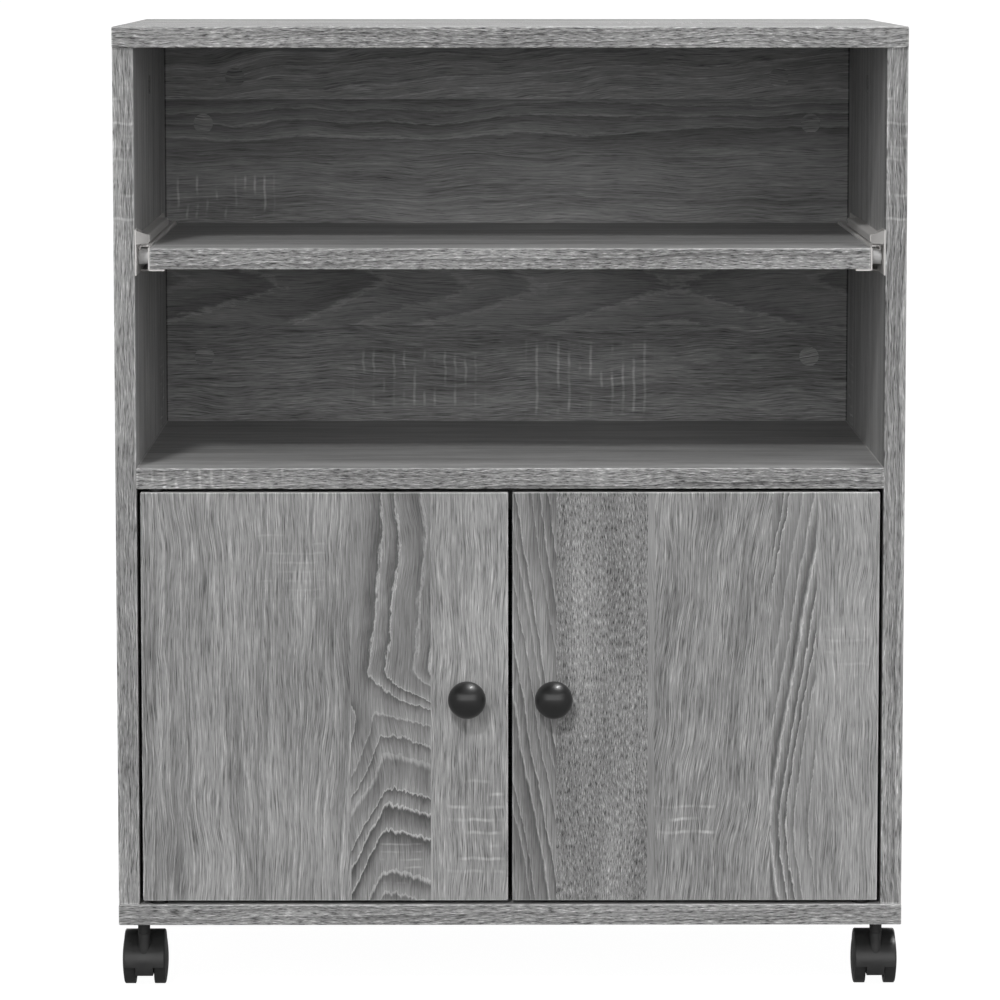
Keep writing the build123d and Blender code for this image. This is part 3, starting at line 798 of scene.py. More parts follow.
@dataclass(frozen=True, kw_only=True)
class Plated(Skinned):
    """Plated or cast metal, with fine brushing and dull patches.

    Args:
        light: Lightness of the clean metal.
        dull: Lightness of its dullest patches, as a share of that.
    """

    light: float
    dull: float = 0.55
    skin: float = 0.01 * MM
    grain: float = 2600.0

    def colour(self, bench: Surface, patch: Wire, dust: Wire) -> None:
        """Fills the colour and the metal."""
        rub, = bench.effect(rubbed_edge(), position=bench.place, amount=1.0)
        tint = bench.tint(patch * 0.7 + rub * 0.3, ((0.1, self.dull * self.light), (0.8, self.light)), 0.01)
        bench.fill(base_color=tint, metallic=1.0)


@dataclass(frozen=True, kw_only=True)
class PartlyBare(Skinned):
    """Black plastic with bare plated steel at one end.

    Args:
        way: The way from the bare end to the black one.
        bare_end: How far along it the steel ends.
    """

    way: Point
    bare_end: float
    gloss: float = 0.35
    matt: float = 0.5
    grain: float = 1500.0

    def colour(self, bench: Surface, patch: Wire, dust: Wire) -> None:
        """Fills the colour and the metal."""
        bare = bench.dot(bench.place, self.way) < self.bare_end
        toned = bench.blend(bare, patch * 0.2, patch * 0.3 + 0.7)
        tint = bench.tint(toned, ((0.0, 0.012), (0.25, 0.03), (1.0, 0.6)))
        bench.fill(base_color=tint, metallic=bare * 0.5)


@dataclass(frozen=True)
class BeechPeg(Finish):
    """Turned beech with short dark flecks."""

    name: str = "beech_peg"

    def lay_out(self, bench: Surface) -> None:
        """Fills the shader."""
        fleck = bench.noise(bench.place, 900.0, 3.0)
        bench.fill(base_color=bench.ramp(fleck, ((0.35, (0.36, 0.22, 0.12)), (0.55, (0.62, 0.44, 0.28)))),
                   roughness=bench.between(fleck, 0.3, 0.7, 0.75, 0.6))
        bench.raise_bumps(fleck, 0.05 * MM, 0.5)


KNOB_GLOSS = Moulded(name="knob_gloss", dark=0.012, light=0.028, gloss=0.36, matt=0.42, skin=0.002 * MM,
                     grain=500.0, coat=0.45)
CASTER_SKIN = Moulded(name="caster_skin", dark=0.030, light=0.056, gloss=0.29, matt=0.40)
WHEEL_SKIN = Moulded(name="wheel_skin", dark=0.024, light=0.044, gloss=0.38, matt=0.5, grain=1700.0)
ROLLER_NYLON = Moulded(name="roller_nylon", dark=0.80, light=0.92, gloss=0.28, matt=0.4, skin=0.015 * MM)
BUSH_PLASTIC = Moulded(name="bush_plastic", dark=0.012, light=0.03, gloss=0.4, matt=0.55)
PLATED_STEEL = Plated(name="plated_steel", light=0.62, gloss=0.22, matt=0.4)
DARK_STEEL = Plated(name="dark_steel", light=0.10, gloss=0.4, matt=0.55)
ZINC_CAST = Plated(name="zinc_cast", light=0.46, gloss=0.38, matt=0.55)
ENAMEL = RunnerEnamel(name="runner_enamel", gloss=0.3, matt=0.42, grain=1100.0, showing=0.4)
BEECH = BeechPeg()


def corners(node: str) -> tuple[Point, ...]:
    """Gives the lowest and the highest corner of a solid."""
    return tuple(tuple(round(value, 6) for value in corner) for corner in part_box(node))


def dress(node: str, finish: Finish) -> None:
    """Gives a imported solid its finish.

    Args:
        node: The solid's name.
        finish: Its finish.
    """
    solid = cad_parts[node]
    solid.data.materials.clear()
    solid.data.materials.append(finish.material())
    log.info("%s: %s", node, finish.name)


def face(node: str, lay: BoardLay, staves: tuple[Stave, ...], patches: tuple[SawPatch, ...],
         **edges: float) -> None:
    """Faces a board with a print of its own."""
    dress(node, GreyOak(f"oak_{node}", lay, *corners(node), staves, patches, **edges))


def cluster(node: str) -> list[tuple[Vector, Vector]]:
    """Finds the separate solids in a node.

    Args:
        node: The node's name.

    Returns:
        The lowest and highest corner of each solid.
    """
    work = bmesh.new()
    work.from_mesh(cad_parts[node].data)
    bmesh.ops.remove_doubles(work, verts=work.verts, dist=0.001 * MM)
    left = set(work.verts)
    boxes = []
    while left:
        edge = [left.pop()]
        found = list(edge)
        while edge:
            for link in edge.pop().link_edges:
                for vert in link.verts:
                    if vert in left:
                        left.remove(vert)
                        edge.append(vert)
                        found.append(vert)
        boxes.append((Vector(min(v.co[i] for v in found) for i in range(3)),
                      Vector(max(v.co[i] for v in found) for i in range(3))))
    work.free()
    return sorted(boxes, key=lambda box: tuple(box[0]))


def meshed(work: bmesh.types.BMesh, name: str) -> bpy.types.Mesh:
    """Turns finished mesh work into a mesh.

    Args:
        work: The work, which is freed.
        name: The mesh's name.

    Returns:
        The mesh.
    """
    mesh = bpy.data.meshes.new(name)
    work.to_mesh(mesh)
    work.free()
    return mesh


def added(name: str, data: bpy.types.ID) -> bpy.types.Object:
    """Puts a mesh, a light or a camera in the scene.

    Args:
        name: The object's name.
        data: What it shows.

    Returns:
        The object.
    """
    made = bpy.data.objects.new(name, data)
    bpy.context.scene.collection.objects.link(made)
    return made


def turned(profile: list[tuple[float, float]], steps: int) -> bpy.types.Mesh:
    """Turns a profile round the Z axis.

    Args:
        profile: Pairs of a radius and a height, from the axis and back to it.
        steps: Faces round the axis.

    Returns:
        The closed mesh.
    """
    work = bmesh.new()
    points = [work.verts.new((radius, 0.0, height)) for radius, height in profile]
    edges = [work.edges.new(pair) for pair in zip(points, points[1:])]
    bmesh.ops.spin(work, geom=points + edges, cent=(0, 0, 0), axis=(0, 0, 1), angle=2 * math.pi, steps=steps,
                   use_merge=True)
    bmesh.ops.remove_doubles(work, verts=work.verts, dist=0.0005 * MM)
    bmesh.ops.recalc_face_normals(work, faces=work.faces)
    return meshed(work, "turned")


def corner_arc(centre: tuple[float, float], radius: float, start: float, end: float,
               steps: int = 6) -> list[tuple[float, float]]:
    """Gives the points of an arc in a profile.

    Args:
        centre: Its centre, as a radius and a height.
        radius: Its own radius.
        start: Angle of its first point, in degrees from the outward direction.
        end: Angle of its last point.
        steps: Pieces that it is cut into.

    Returns:
        The points, one more than the pieces.
    """
    turns = [math.radians(start + (end - start) * step / steps) for step in range(steps + 1)]
    return [(centre[0] + radius * math.cos(turn), centre[1] + radius * math.sin(turn)) for turn in turns]


def place_piece(name: str, mesh: bpy.types.Mesh, finish: Finish, body: str, slot: str,
                *replaced: str) -> None:
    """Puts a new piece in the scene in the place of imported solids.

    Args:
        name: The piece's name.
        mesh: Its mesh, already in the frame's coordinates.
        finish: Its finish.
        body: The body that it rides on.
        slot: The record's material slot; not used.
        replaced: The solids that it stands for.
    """
    mesh.name = name
    mesh.materials.append(finish.material())
    for face in mesh.polygons:
        face.use_smooth = True
    mesh.set_sharp_from_angle(angle=math.radians(SHARP_TURN))
    piece = added(name, mesh)
    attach(piece, body)
    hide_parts(*replaced)
    log.info("%s: %d faces, %s", name, len(mesh.polygons), finish.name)


def axis_matrix(origin: Vector, direction: Vector) -> Matrix:
    """Gives the matrix that stands a turned mesh on a point, with its height along a direction."""
    return Matrix.Translation(origin) @ direction.to_track_quat("Z", "Y").to_matrix().to_4x4()


def turned_in(node: str, way: Point, profile: list[tuple[float, float]], steps: int) -> bpy.types.Mesh:
    """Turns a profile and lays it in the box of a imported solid.

    Args:
        node: The solid.
        way: The axis from the profile's lowest height to its highest.
        profile: Pairs of a radius and a height.
        steps: Faces round the axis.

    Returns:
        The mesh, in the frame's coordinates.
    """
    start = [{1.0: low, -1.0: high}.get(step, (low + high) / 2)
             for low, high, step in zip(*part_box(node), way)]
    mesh = turned(profile, steps)
    mesh.transform(axis_matrix(Vector(start), Vector(way)))
    return mesh


def joined(meshes: list[bpy.types.Mesh]) -> bpy.types.Mesh:
    """Joins meshes into one."""
    work = bmesh.new()
    for mesh in meshes:
        work.from_mesh(mesh)
    return meshed(work, "joined")


@dataclass
class Boards:
    """The faced boards of the cart and the foil caps over their cam fittings.

    Args:
        back_straight: Height of the back panel's straight stave over the panel's lower edge, in millimetres.
        back_figured: Height at which its figured stave starts.
        back_edge: Painted shade along the back panel's edges, where it meets the other boards, given as
            lightness added.
        edge_end: How far from a board's corner the coarser print of its front edge ends, in millimetres.
    """

    back_straight: float = 335.0
    back_figured: float = 416.5
    back_edge: float = -0.3
    edge_end: float = 17.5

    def top_and_bottom(self) -> None:
        """Dresses the top and the bottom board."""
        for node, seed in (("top_panel", 3.1), ("bottom_panel", 8.7)):
            staves = (Stave(0, seed, centre=-30, depth=30, taper=0.012, pitch=3.4, bands=0.16, jag=2,
                            wander=8, pores=1.9, specks=0.7, fibres=0.6, tone=-0.01),
                      Stave(self.edge_end, seed + 0.8, tone=0.01),
                      Stave(110, seed + 1.3, centre=160, depth=5, waist=140, taper=0.06, pitch=8, bands=0.15,
                            jag=4),
                      Stave(215, seed + 2.6, tone=0.02),
                      Stave(320, seed + 3.9, centre=330, waist=500, taper=0.04, bands=0.14, jag=4,
                            tone=-0.02))
            face(node, BoardLay.LYING, staves, (SawPatch(180, 50, 70, 36), SawPatch(430, 60, 180, 50)))

    def sides(self) -> None:
        """Dresses the two side panels."""
        for node, seed in (("left_side_panel", 14.2), ("right_side_panel", 21.6)):
            # Past the front edge the staves are lighter, tones 0.06 to 0.08: painted light on the inner
            # walls, which lie in shade.
            staves = (Stave(0, seed, centre=-40, depth=30, waist=200, taper=0.01, pitch=4, bands=0.13, jag=2,
                            wander=8, pores=1.5, specks=0.4, fibres=0.8, tone=-0.01),
                      Stave(self.edge_end, seed + 0.6, fibres=0.6, pores=0.5, bands=0.05, tone=0.07),
                      Stave(110, seed + 1.1, centre=150, depth=5, waist=120, taper=0.09, pitch=9, bands=0.12,
                            jag=4, fibres=0.7, pores=0.7, tone=0.07),
                      Stave(205, seed + 2.2, tone=0.08, fibres=0.7, pores=0.6),
                      Stave(300, seed + 3.3, centre=345, depth=6, waist=560, taper=0.05, pitch=8, bands=0.12,
                            jag=4, tone=0.06, fibres=0.7, pores=0.7))
            patches = (SawPatch(580, 80, 8, 9, 9, 0.1), SawPatch(160, 50, 240, 50),
                       SawPatch(360, 40, 340, 30))
            face(node, BoardLay.SIDE, staves, patches)

    def shelves(self) -> None:
        """Dresses the fixed shelf and the sliding shelf."""
        for node, seed, tone, patches in (("fixed_shelf", 31.4, -0.03, (SawPatch(60, 62, 8, 9, 9, 0.12),)),
                                          ("sliding_shelf", 38.9, -0.01, ())):
            # Behind the front edge the staves are lighter, tones 0.02 to 0.06: painted light on the shelves,
            # which lie mostly in shade.
            staves = (Stave(0, seed, centre=-20, depth=20, taper=0.014, pitch=3.2, bands=0.15, jag=2,
                            wander=8, pores=1.9, specks=0.7, fibres=0.6, tone=tone),
                      Stave(self.edge_end, seed + 0.7, bands=0.06, fibres=0.5, pores=0.4, tone=0.06),
                      Stave(130, seed + 1.2, centre=170, depth=6, waist=300, taper=0.05, bands=0.08, jag=4,
                            fibres=0.4, pores=0.3, tone=0.02),
                      Stave(250, seed + 2.4, fibres=0.4, pores=0.3, bands=0.05, tone=0.02))
            face(node, BoardLay.LYING, staves, patches)

    def back(self) -> None:
        """Dresses the back panel."""
        staves = (Stave(0, 51.0),
                  Stave(120, 52.3, centre=170, depth=8, waist=260, taper=0.08, pitch=8, bands=0.16, jag=4),
                  Stave(230, 53.9, tone=0.02),
                  Stave(self.back_straight, 55.2, bands=0.07, tone=-0.04),
                  Stave(self.back_figured, 56.5, centre=452, depth=5, waist=424, taper=0.34, pitch=26,
                        bands=0.14, jag=12, wander=16, pores=0.6, tone=0.02),
                  Stave(500, 57.4, tone=-0.03, bands=0.06, fibres=0.7, pores=0.7),
                  Stave(563, 58.8, centre=556, depth=3, waist=60, taper=0.02, pitch=14, bands=0.13, jag=4,
                        wander=14, fibres=0.6, pores=0.6, tone=-0.03),
                  Stave(604, 59.7, bands=0.1, lean=-0.07, pitch=9, centre=900, jag=3, wander=16, fibres=0.7,
                        tone=0.08))
        patches = (SawPatch(48, 48, 523, 20, 8, 0.16), SawPatch(210, 60, 372, 26, 8.5, 0.12),
                   SawPatch(352, 58, 372, 34, 9, 0.16))
        # The back panel's edges get painted shade where it meets the other boards.
        face("back_panel", BoardLay.BACK, staves, patches, edge_tone=self.back_edge)

    def fittings(self) -> None:
        """Dresses the caps, cams, bolts and dowels."""
        foil = GreyOak("oak_foil", BoardLay.BACK, *corners("cam_caps"),
                       (Stave(0, 71.0, bands=0.1, tone=0.02, wander=30),))
        dress("cam_caps", foil)
        dress("cam_locks", ZINC_CAST)
        dress("cam_bolts", PLATED_STEEL)
        dress("dowels", BEECH)

    def build(self) -> None:
        """Dresses every board."""
        self.top_and_bottom()
        self.sides()
        self.shelves()
        self.back()
        self.fittings()


@dataclass
class Doors:
    """The two doors with their knobs, pins, bushes and catch.

    Args:
        knob_rim: How far the knob's widest ring stands from the door.
        neck: Radius of the knob's neck.
        neck_top: How far the neck reaches from the door.
        foot: Radius of the knob's foot.
        foot_edge: Rounding of the foot.
        foot_top: How far the foot reaches from the door.
        magnet_face: How far the catch's steel reaches back from its front.
    """

    knob_rim: float = 14.0 * MM
    neck: float = 6.0 * MM
    neck_top: float = 5.0 * MM
    foot: float = 8.0 * MM
    foot_edge: float = 0.3 * MM
    foot_top: float = 1.6 * MM
    magnet_face: float = 1.95 * MM

    def boards(self) -> None:
        """Dresses the doors' boards, each with its own staves."""
        left = (Stave(0, 80.2, tone=-0.04, pores=1.2),
                Stave(11, 81.0, centre=80, depth=4, waist=20, taper=0.04, pitch=9, bands=0.09, jag=2),
                Stave(159.7, 82.7, centre=186, depth=5, waist=155, taper=0.8, skew=-0.7, shift=-24, calm=0.95,
                      pitch=16, bands=0.24, jag=7, wander=16, tone=-0.03, pores=0.6, fibres=0.8),
                Stave(220.6, 84.1, bands=0.06, tone=0.02, pores=1.1))
        left_patches = (SawPatch(60, 46, 255, 24, 10, 0.11), SawPatch(30, 20, 198, 18, 6, 0.1),
                        SawPatch(260, 30, 115, 30, 7, 0.045))
        right = (Stave(0, 91.0, centre=-12, depth=5, waist=330, taper=0.17, pitch=7.5, bands=0.2, jag=3,
                       wander=6, pores=0.6, tone=-0.05),
                 Stave(33.7, 92.2, bands=0.04, tone=-0.06, pores=1.5, specks=0.85, fibres=0.6),
                 Stave(103.4, 93.0, bands=0.0, tone=-0.03, pores=0.3, fibres=0.5),
                 Stave(108.6, 93.6, bands=0.06, lean=-0.08, pores=1.2, tone=-0.025),
                 Stave(197.6, 94.9, centre=194, depth=2, waist=60, taper=0.17, pitch=7.5, bands=0.24, jag=4,
                       wander=5, pores=0.6, fibres=0.7),
                 Stave(232, 96.3, bands=0.06, tone=0.02))
        right_patches = (SawPatch(62, 14, 132, 26, 10, 0.14), SawPatch(200, 30, 255, 20, 9, 0.04))
        face("left_door", BoardLay.DOOR, left, left_patches)
        face("right_door", BoardLay.DOOR, right, right_patches)

    def knobs(self) -> None:
        """Turns the knobs and stands them on the doors."""
        for hand in HANDS:
            low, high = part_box(f"{hand}_knob")
            radius, length = (high.x - low.x) / 2, high.y - low.y
            flare = [(radius - (radius - self.neck) * math.cos(math.radians(turn)),
                      self.neck_top + (self.knob_rim - self.neck_top) * math.sin(math.radians(turn)))
                     for turn in range(6, 73, 6)]
            dome = [(radius * math.cos(math.radians(turn)),
                     self.knob_rim + (length - self.knob_rim) * math.sin(math.radians(turn)))
                    for turn in range(4, 91, 4)]
            edge = self.foot_edge
            profile = [(0.0, 0.0), *corner_arc((self.foot - edge, edge), edge, -90, 0),
                       (self.foot, self.foot_top - edge), (self.foot - 0.4 * MM, self.foot_top),
                       (self.neck, self.neck_top), *flare, *dome, (0.0, length)]
            mesh = turned_in(f"{hand}_knob", FORWARD, profile, 128)
            place_piece(f"{hand}_knob_gloss", mesh, KNOB_GLOSS, f"{hand}_door", "knob_black", f"{hand}_knob")

    def fittings(self) -> None:
        """Dresses the pins, bushes, strike plates and the catch."""
        for hand in HANDS:
            dress(f"{hand}_door_pins", DARK_STEEL)
            dress(f"{hand}_strike_plate", PLATED_STEEL)
        dress("pivot_bushes", BUSH_PLASTIC)
        bare_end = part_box("magnetic_catch")[0].y + self.magnet_face
        dress("magnetic_catch", PartlyBare(name="catch_housing", way=BACKWARD, bare_end=bare_end))

    def build(self) -> None:
        """Builds and dresses the doors."""
        self.boards()
        self.knobs()
        self.fittings()


@dataclass
class Screws:
    """Screws with crossed slots in their heads.

    Args:
        slot_length: Length of each slot, as a share of the head's diameter.
        slot_width: Width of each slot, as a share of the head's diameter.
        small: Radius of the small screws' shanks.
        pan: Height of the small screws' heads.
        knob_shank: Radius of the knob screws' shanks.
        knob_pan: Height of the knob screws' heads.
    """

    slot_length: float = 0.62
    slot_width: float = 0.15
    small: float = 1.75 * MM
    pan: float = 0.8 * MM
    knob_shank: float = 2.0 * MM
    knob_pan: float = 2.4 * MM

    def screw(self, head: float, height: float, shank: float, length: float) -> bpy.types.Mesh:
        """Makes one screw, its head's top facing up at its own height.

        Args:
            head: Radius of the head.
            height: Height of the head over the seat, or 0 for a cone that is sunk in the seat.
            shank: Radius of the shank.
            length: Length of the shank under the seat.

        Returns:
            The mesh, with its seat at height 0.
        """
        tip = [(0.0, -length), (0.35 * shank, -length + 0.8 * shank), (shank, -length + 2.6 * shank)]
        soft = 0.45 * height
        pan = [(shank, 0.0), (head, 0.0), *corner_arc((head - soft, height - soft), soft, 0, 70),
               (0.5 * head, height), (0.0, height)]
        top = pan if height else [(shank, shank - head), (head, 0.0), (0.0, 0.0)]
        body = added("screw_blank", turned(tip + top, 48))
        slot = Matrix.Diagonal((2 * head * self.slot_length, 2 * head * self.slot_width,
                                min(0.8 * head, 0.7 * height + 0.9 * shank), 1.0))
        for turn in (45, 135):
            work = bmesh.new()
            way = Matrix.Translation((0, 0, height)) @ Matrix.Rotation(math.radians(turn), 4, "Z")
            bmesh.ops.create_cube(work, size=1.0, matrix=way @ slot)
            cut = body.modifiers.new("slot", "BOOLEAN")
            cut.operation, cut.solver = "DIFFERENCE", "EXACT"
            cut.object = added("slot_cutter", meshed(work, "slot_cutter"))
        bpy.context.view_layer.update()
        made = bpy.data.meshes.new_from_object(body.evaluated_get(bpy.context.evaluated_depsgraph_get()))
        for spare in [body] + [modifier.object for modifier in body.modifiers]:
            bpy.data.objects.remove(spare)
        return made

    def drive(self, node: str, body: str, inward: Point, height: float, shank: float) -> None:
        """Sets a screw in the place of each packed one.

        Args:
            node: The node that holds them.
            body: The body that they ride on.
            inward: The way they are driven. Its X is taken towards each screw's own side.
            height: Height of their heads over their seats, or 0 if they are sunk.
            shank: Radius of their shanks.
        """
        meshes = []
        for low, high in cluster(node):
            middle = (low + high) / 2
            way = Vector((math.copysign(1.0, middle.x) * inward[0], *inward[1:]))
            span = high - low
            length = abs(span.dot(way))
            head = (span.x + span.y + span.z - length) / 4
            mesh = self.screw(head, height, shank, length - height)
            mesh.transform(axis_matrix(middle - way * length / 2 + way * height, -way))
            meshes.append(mesh)
        place_piece(f"{node}_slotted", joined(meshes), PLATED_STEEL, body, "plated_steel", node)

    def build(self) -> None:
        """Sets every screw."""
        self.drive("cabinet_runner_screws", "carcass", RIGHTWARD, self.pan, self.small)
        self.drive("shelf_runner_screws", "sliding_shelf", UPWARD, self.pan, self.small)
        self.drive("catch_screws", "carcass", UPWARD, self.pan, self.small)
        for hand in HANDS:
            door = f"{hand}_door"
            self.drive(f"{hand}_knob_screw", door, FORWARD, self.knob_pan, self.knob_shank)
            self.drive(f"{hand}_strike_screw", door, FORWARD, 0.0, self.small)


@dataclass
class Runners:
    """The roller runners of the sliding shelf.

    Args:
        rim: Rounding of the rollers' rims.
        ring: Radius of the moulded ring on the rear rollers' faces, as a share of theirs.
        groove: Depth of that ring.
        outward: How far a front roller's rim stands out over its hub towards the cart's side.
        inward: How far it stands out towards the shelf.
        bore: Radius of the rollers' bores.
        outer_hub: Radius of the hollow in the rim at the cart's side.
        inner_hub: Radius of the hollow in the rim at the shelf.
        nose_foot: Height of the lower edge of the plate that closes a channel's front.
        nose_tops: Heights of its upper edge, in front and behind.
        nose_run: How far back it runs.
        nose_back: How far its front edge lies behind the runner's end.
        nose_inner: How far from the cart's middle it ends.
        nose_sheet: Its thickness to the rear.
        sheet: Thickness of the runners' sheet.
        web: How far a shelf runner's upright sheet lies from the cart's middle.
        flange_drop: Height of a shelf runner's upper flange with its lip.
        flange_back: How far the flange is cut back in front.
    """

    rim: float = 0.6 * MM
    ring: float = 0.62
    groove: float = 0.35 * MM
    outward: float = 2.7 * MM
    inward: float = 1.2 * MM
    bore: float = 2.05 * MM
    outer_hub: float = 4.2 * MM
    inner_hub: float = 3.6 * MM
    nose_foot: float = 575.8 * MM
    nose_tops: tuple[float, float] = (586.2 * MM, 582.0 * MM)
    nose_run: float = 14.0 * MM
    nose_back: float = 0.4 * MM
    nose_inner: float = 274.3 * MM
    nose_sheet: float = 1.5 * MM
    sheet: float = 1.2 * MM
    web: float = 274.0 * MM
    flange_drop: float = 5.0 * MM
    flange_back: float = 14.0 * MM

    def rimmed_roller(self, node: str) -> None:
        """Turns one front roller, whose rim stands out over the rivet that holds its hub.

        Args:
            node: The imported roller, which is also its body.
        """
        low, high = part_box(node)
        radius, width = (high.z - low.z) / 2, high.x - low.x
        far = width + self.outward
        profile = [(self.bore, 0.0), (self.inner_hub, 0.0), (self.inner_hub, -self.inward),
                   *corner_arc((radius - self.rim, self.rim - self.inward), self.rim, -90, 0),
                   *corner_arc((radius - self.rim, far - self.rim), self.rim, 0, 90),
                   (self.outer_hub, far), (self.outer_hub, width), (self.bore, width), (self.bore, 0.0)]
        mesh = turned_in(node, (math.copysign(1.0, low.x), 0.0, 0.0), profile, 80)
        place_piece(f"{node}_nylon", mesh, ROLLER_NYLON, node, "white_nylon", node)

    def nose(self, hand: str) -> None:
        """Closes the front of one cabinet runner's upper channel with a plate that runs inwards to the rear.

        Args:
            hand: Which runner.
        """
        low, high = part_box(f"{hand}_cabinet_runner")
        side = math.copysign(1.0, low.x)
        front = low.y + self.nose_back
        ends = ((max(abs(low.x), abs(high.x)) - self.sheet, front, self.nose_tops[0]),
                (self.nose_inner, front + self.nose_run, self.nose_tops[1]))
        work = bmesh.new()
        (a, b, c, d), (e, f, g, h) = (
            [work.verts.new((side * across, along + depth, height))
             for depth in (0.0, self.nose_sheet) for height in (self.nose_foot, top)]
            for across, along, top in ends)
        for around in ((a, b, f, e), (c, g, h, d), (a, e, g, c), (b, d, h, f), (a, c, d, b), (e, f, h, g)):
            work.faces.new(around)
        bmesh.ops.recalc_face_normals(work, faces=work.faces)
        place_piece(f"{hand}_runner_nose", meshed(work, "nose"), ENAMEL, "carcass", "runner_enamel")

    def shelf_runner(self, hand: str) -> None:
        """Copies one shelf runner, with the front of its upper flange cut back to let light onto the roller.

        Args:
            hand: Which runner.
        """
        node = f"{hand}_shelf_runner"
        low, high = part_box(node)
        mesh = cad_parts[node].data.copy()
        mesh.materials.clear()
        for vert in mesh.vertices:
            in_flange = vert.co.z > high.z - self.flange_drop and abs(vert.co.x) > self.web
            if in_flange and vert.co.y < low.y + self.sheet:
                vert.co.y += self.flange_back
        place_piece(f"{node}_sheet", mesh, ENAMEL, "sliding_shelf", "runner_enamel", node)

    def roller(self, node: str) -> None:
        """Turns one rear roller, with a moulded ring on both faces.

        Args:
            node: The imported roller, which is also its body.
        """
        low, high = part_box(node)
        radius, width = (high.z - low.z) / 2, high.x - low.x
        ring = self.ring * radius
        side = [(self.bore, 0.0), (ring - 0.5 * MM, 0.0), (ring - 0.2 * MM, self.groove),
                (ring + 0.5 * MM, self.groove), (ring + 0.8 * MM, 0.0),
                *corner_arc((radius - self.rim, self.rim), self.rim, -90, 0)]
        profile = side + [(r, width - h) for r, h in reversed(side)] + [side[0]]
        mesh = turned_in(node, RIGHTWARD, profile, 80)
        place_piece(f"{node}_nylon", mesh, ROLLER_NYLON, node, "white_nylon", node)

    def build(self) -> None:
        """Builds and dresses the runners."""
        for hand in HANDS:
            dress(f"{hand}_cabinet_runner", ENAMEL)
            self.shelf_runner(hand)
            self.nose(hand)
            self.rimmed_roller(f"{hand}_front_roller")
            self.roller(f"{hand}_rear_roller")
        dress("front_roller_rivets", ENAMEL)
        dress("rear_roller_rivets", ENAMEL)


@dataclass
class Casters:
    """The four twin-wheel casters.

    Args:
        dome: How far a wheel's outer face swells.
        edge: Rounding of the tread.
        recess: Depth of the hollow on a wheel's inner face.
        recess_radius: Radius of that hollow.
        hub: Radius of the hub in it.
        bore: Radius of the axle's bore.
        bore_depth: Depth of the bore.
        ring: Radius of the moulded ring on the outer face, as a share of the wheel's.
        ring_depth: Depth of that ring.
        sleeve_top: Height up to which a black sleeve covers the stems.
    """

    dome: float = 1.9 * MM
    edge: float = 1.2 * MM
    recess: float = 5.0 * MM
    recess_radius: float = 16.0 * MM
    hub: float = 6.0 * MM
    bore: float = 3.05 * MM
    bore_depth: float = 8.0 * MM
    ring: float = 0.78
    ring_depth: float = 0.22 * MM
    sleeve_top: float = 50.4 * MM

    def wheel(self, node: str, outward: float) -> None:
        """Turns one wheel, with a domed outer face and a moulded ring on it.

        Args:
            node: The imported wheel, which is also its body.
            outward: 1 if its dome faces right, -1 if it faces left.
        """
        low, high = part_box(node)
        radius, width = (high.z - low.z) / 2, high.x - low.x
        rim = width - self.dome
        ring = self.ring * radius
        cap = [(r, rim + self.dome * (1 - (r / radius) ** 2) - self.ring_depth * (abs(r - ring) < 0.4 * MM))
               for r in (radius * step / 40 for step in range(37, 0, -1))]
        profile = [(0.0, self.bore_depth), (self.bore, self.bore_depth), (self.bore, 0.0), (self.hub, 0.0),
                   (self.hub, self.recess), (self.recess_radius, self.recess), (self.recess_radius, 0.0),
                   *corner_arc((radius - 0.5 * MM, 0.5 * MM), 0.5 * MM, -90, 0),
                   *corner_arc((radius - self.edge, rim - 0.9 * self.edge), self.edge, 0, 70), *cap,
                   (0.0, width)]
        mesh = turned_in(node, (outward, 0.0, 0.0), profile, 128)
        place_piece(f"{node}_tread", mesh, WHEEL_SKIN, node, "caster_wheel", node)

    def build(self) -> None:
        """Builds and dresses the casters."""
        for end in ENDS:
            for hand in HANDS:
                caster = f"{end}_{hand}_caster"
                dress(f"{caster}_hood", CASTER_SKIN)
                dress(f"{caster}_axle", PLATED_STEEL)
                self.wheel(f"{caster}_left_wheel", -1.0)
                self.wheel(f"{caster}_right_wheel", 1.0)
        dress("caster_stems", PartlyBare(name="sleeved_stem", way=DOWNWARD, bare_end=-self.sleeve_top))
        dress("caster_inserts", ZINC_CAST)


@dataclass(frozen=True)
class FloorPaper(Finish):
    """Plain pale floor that glows a little, and looks lighter straight to the camera.

    Args:
        name: The material's name.
        paper: Lightness of the paper.
        glow: What it gives off to the pieces that stand on it.
        shine: What it gives off in reflections.
        seen: What it gives off to the camera.
    """

    name: str = "floor_paper"
    paper: float = 0.18
    glow: float = 0.04
    shine: float = 0.16
    seen: float = 0.97

    def lay_out(self, bench: Surface) -> None:
        """Fills the shader."""
        mottle = bench.tint(bench.noise(bench.place, 0.6), ((0.0, 0.97 * self.paper), (1.0, self.paper)))
        path = bench.lay("LightPath").outputs
        given = bench.blend(path["Is Glossy Ray"], self.glow, self.shine)
        given = bench.blend(path["Is Camera Ray"], given, self.seen)
        bench.fill(base_color=mottle, roughness=1.0, emission_color=WHITE, emission_strength=given)
        bench.shader.inputs["Specular IOR Level"].default_value = 0.0


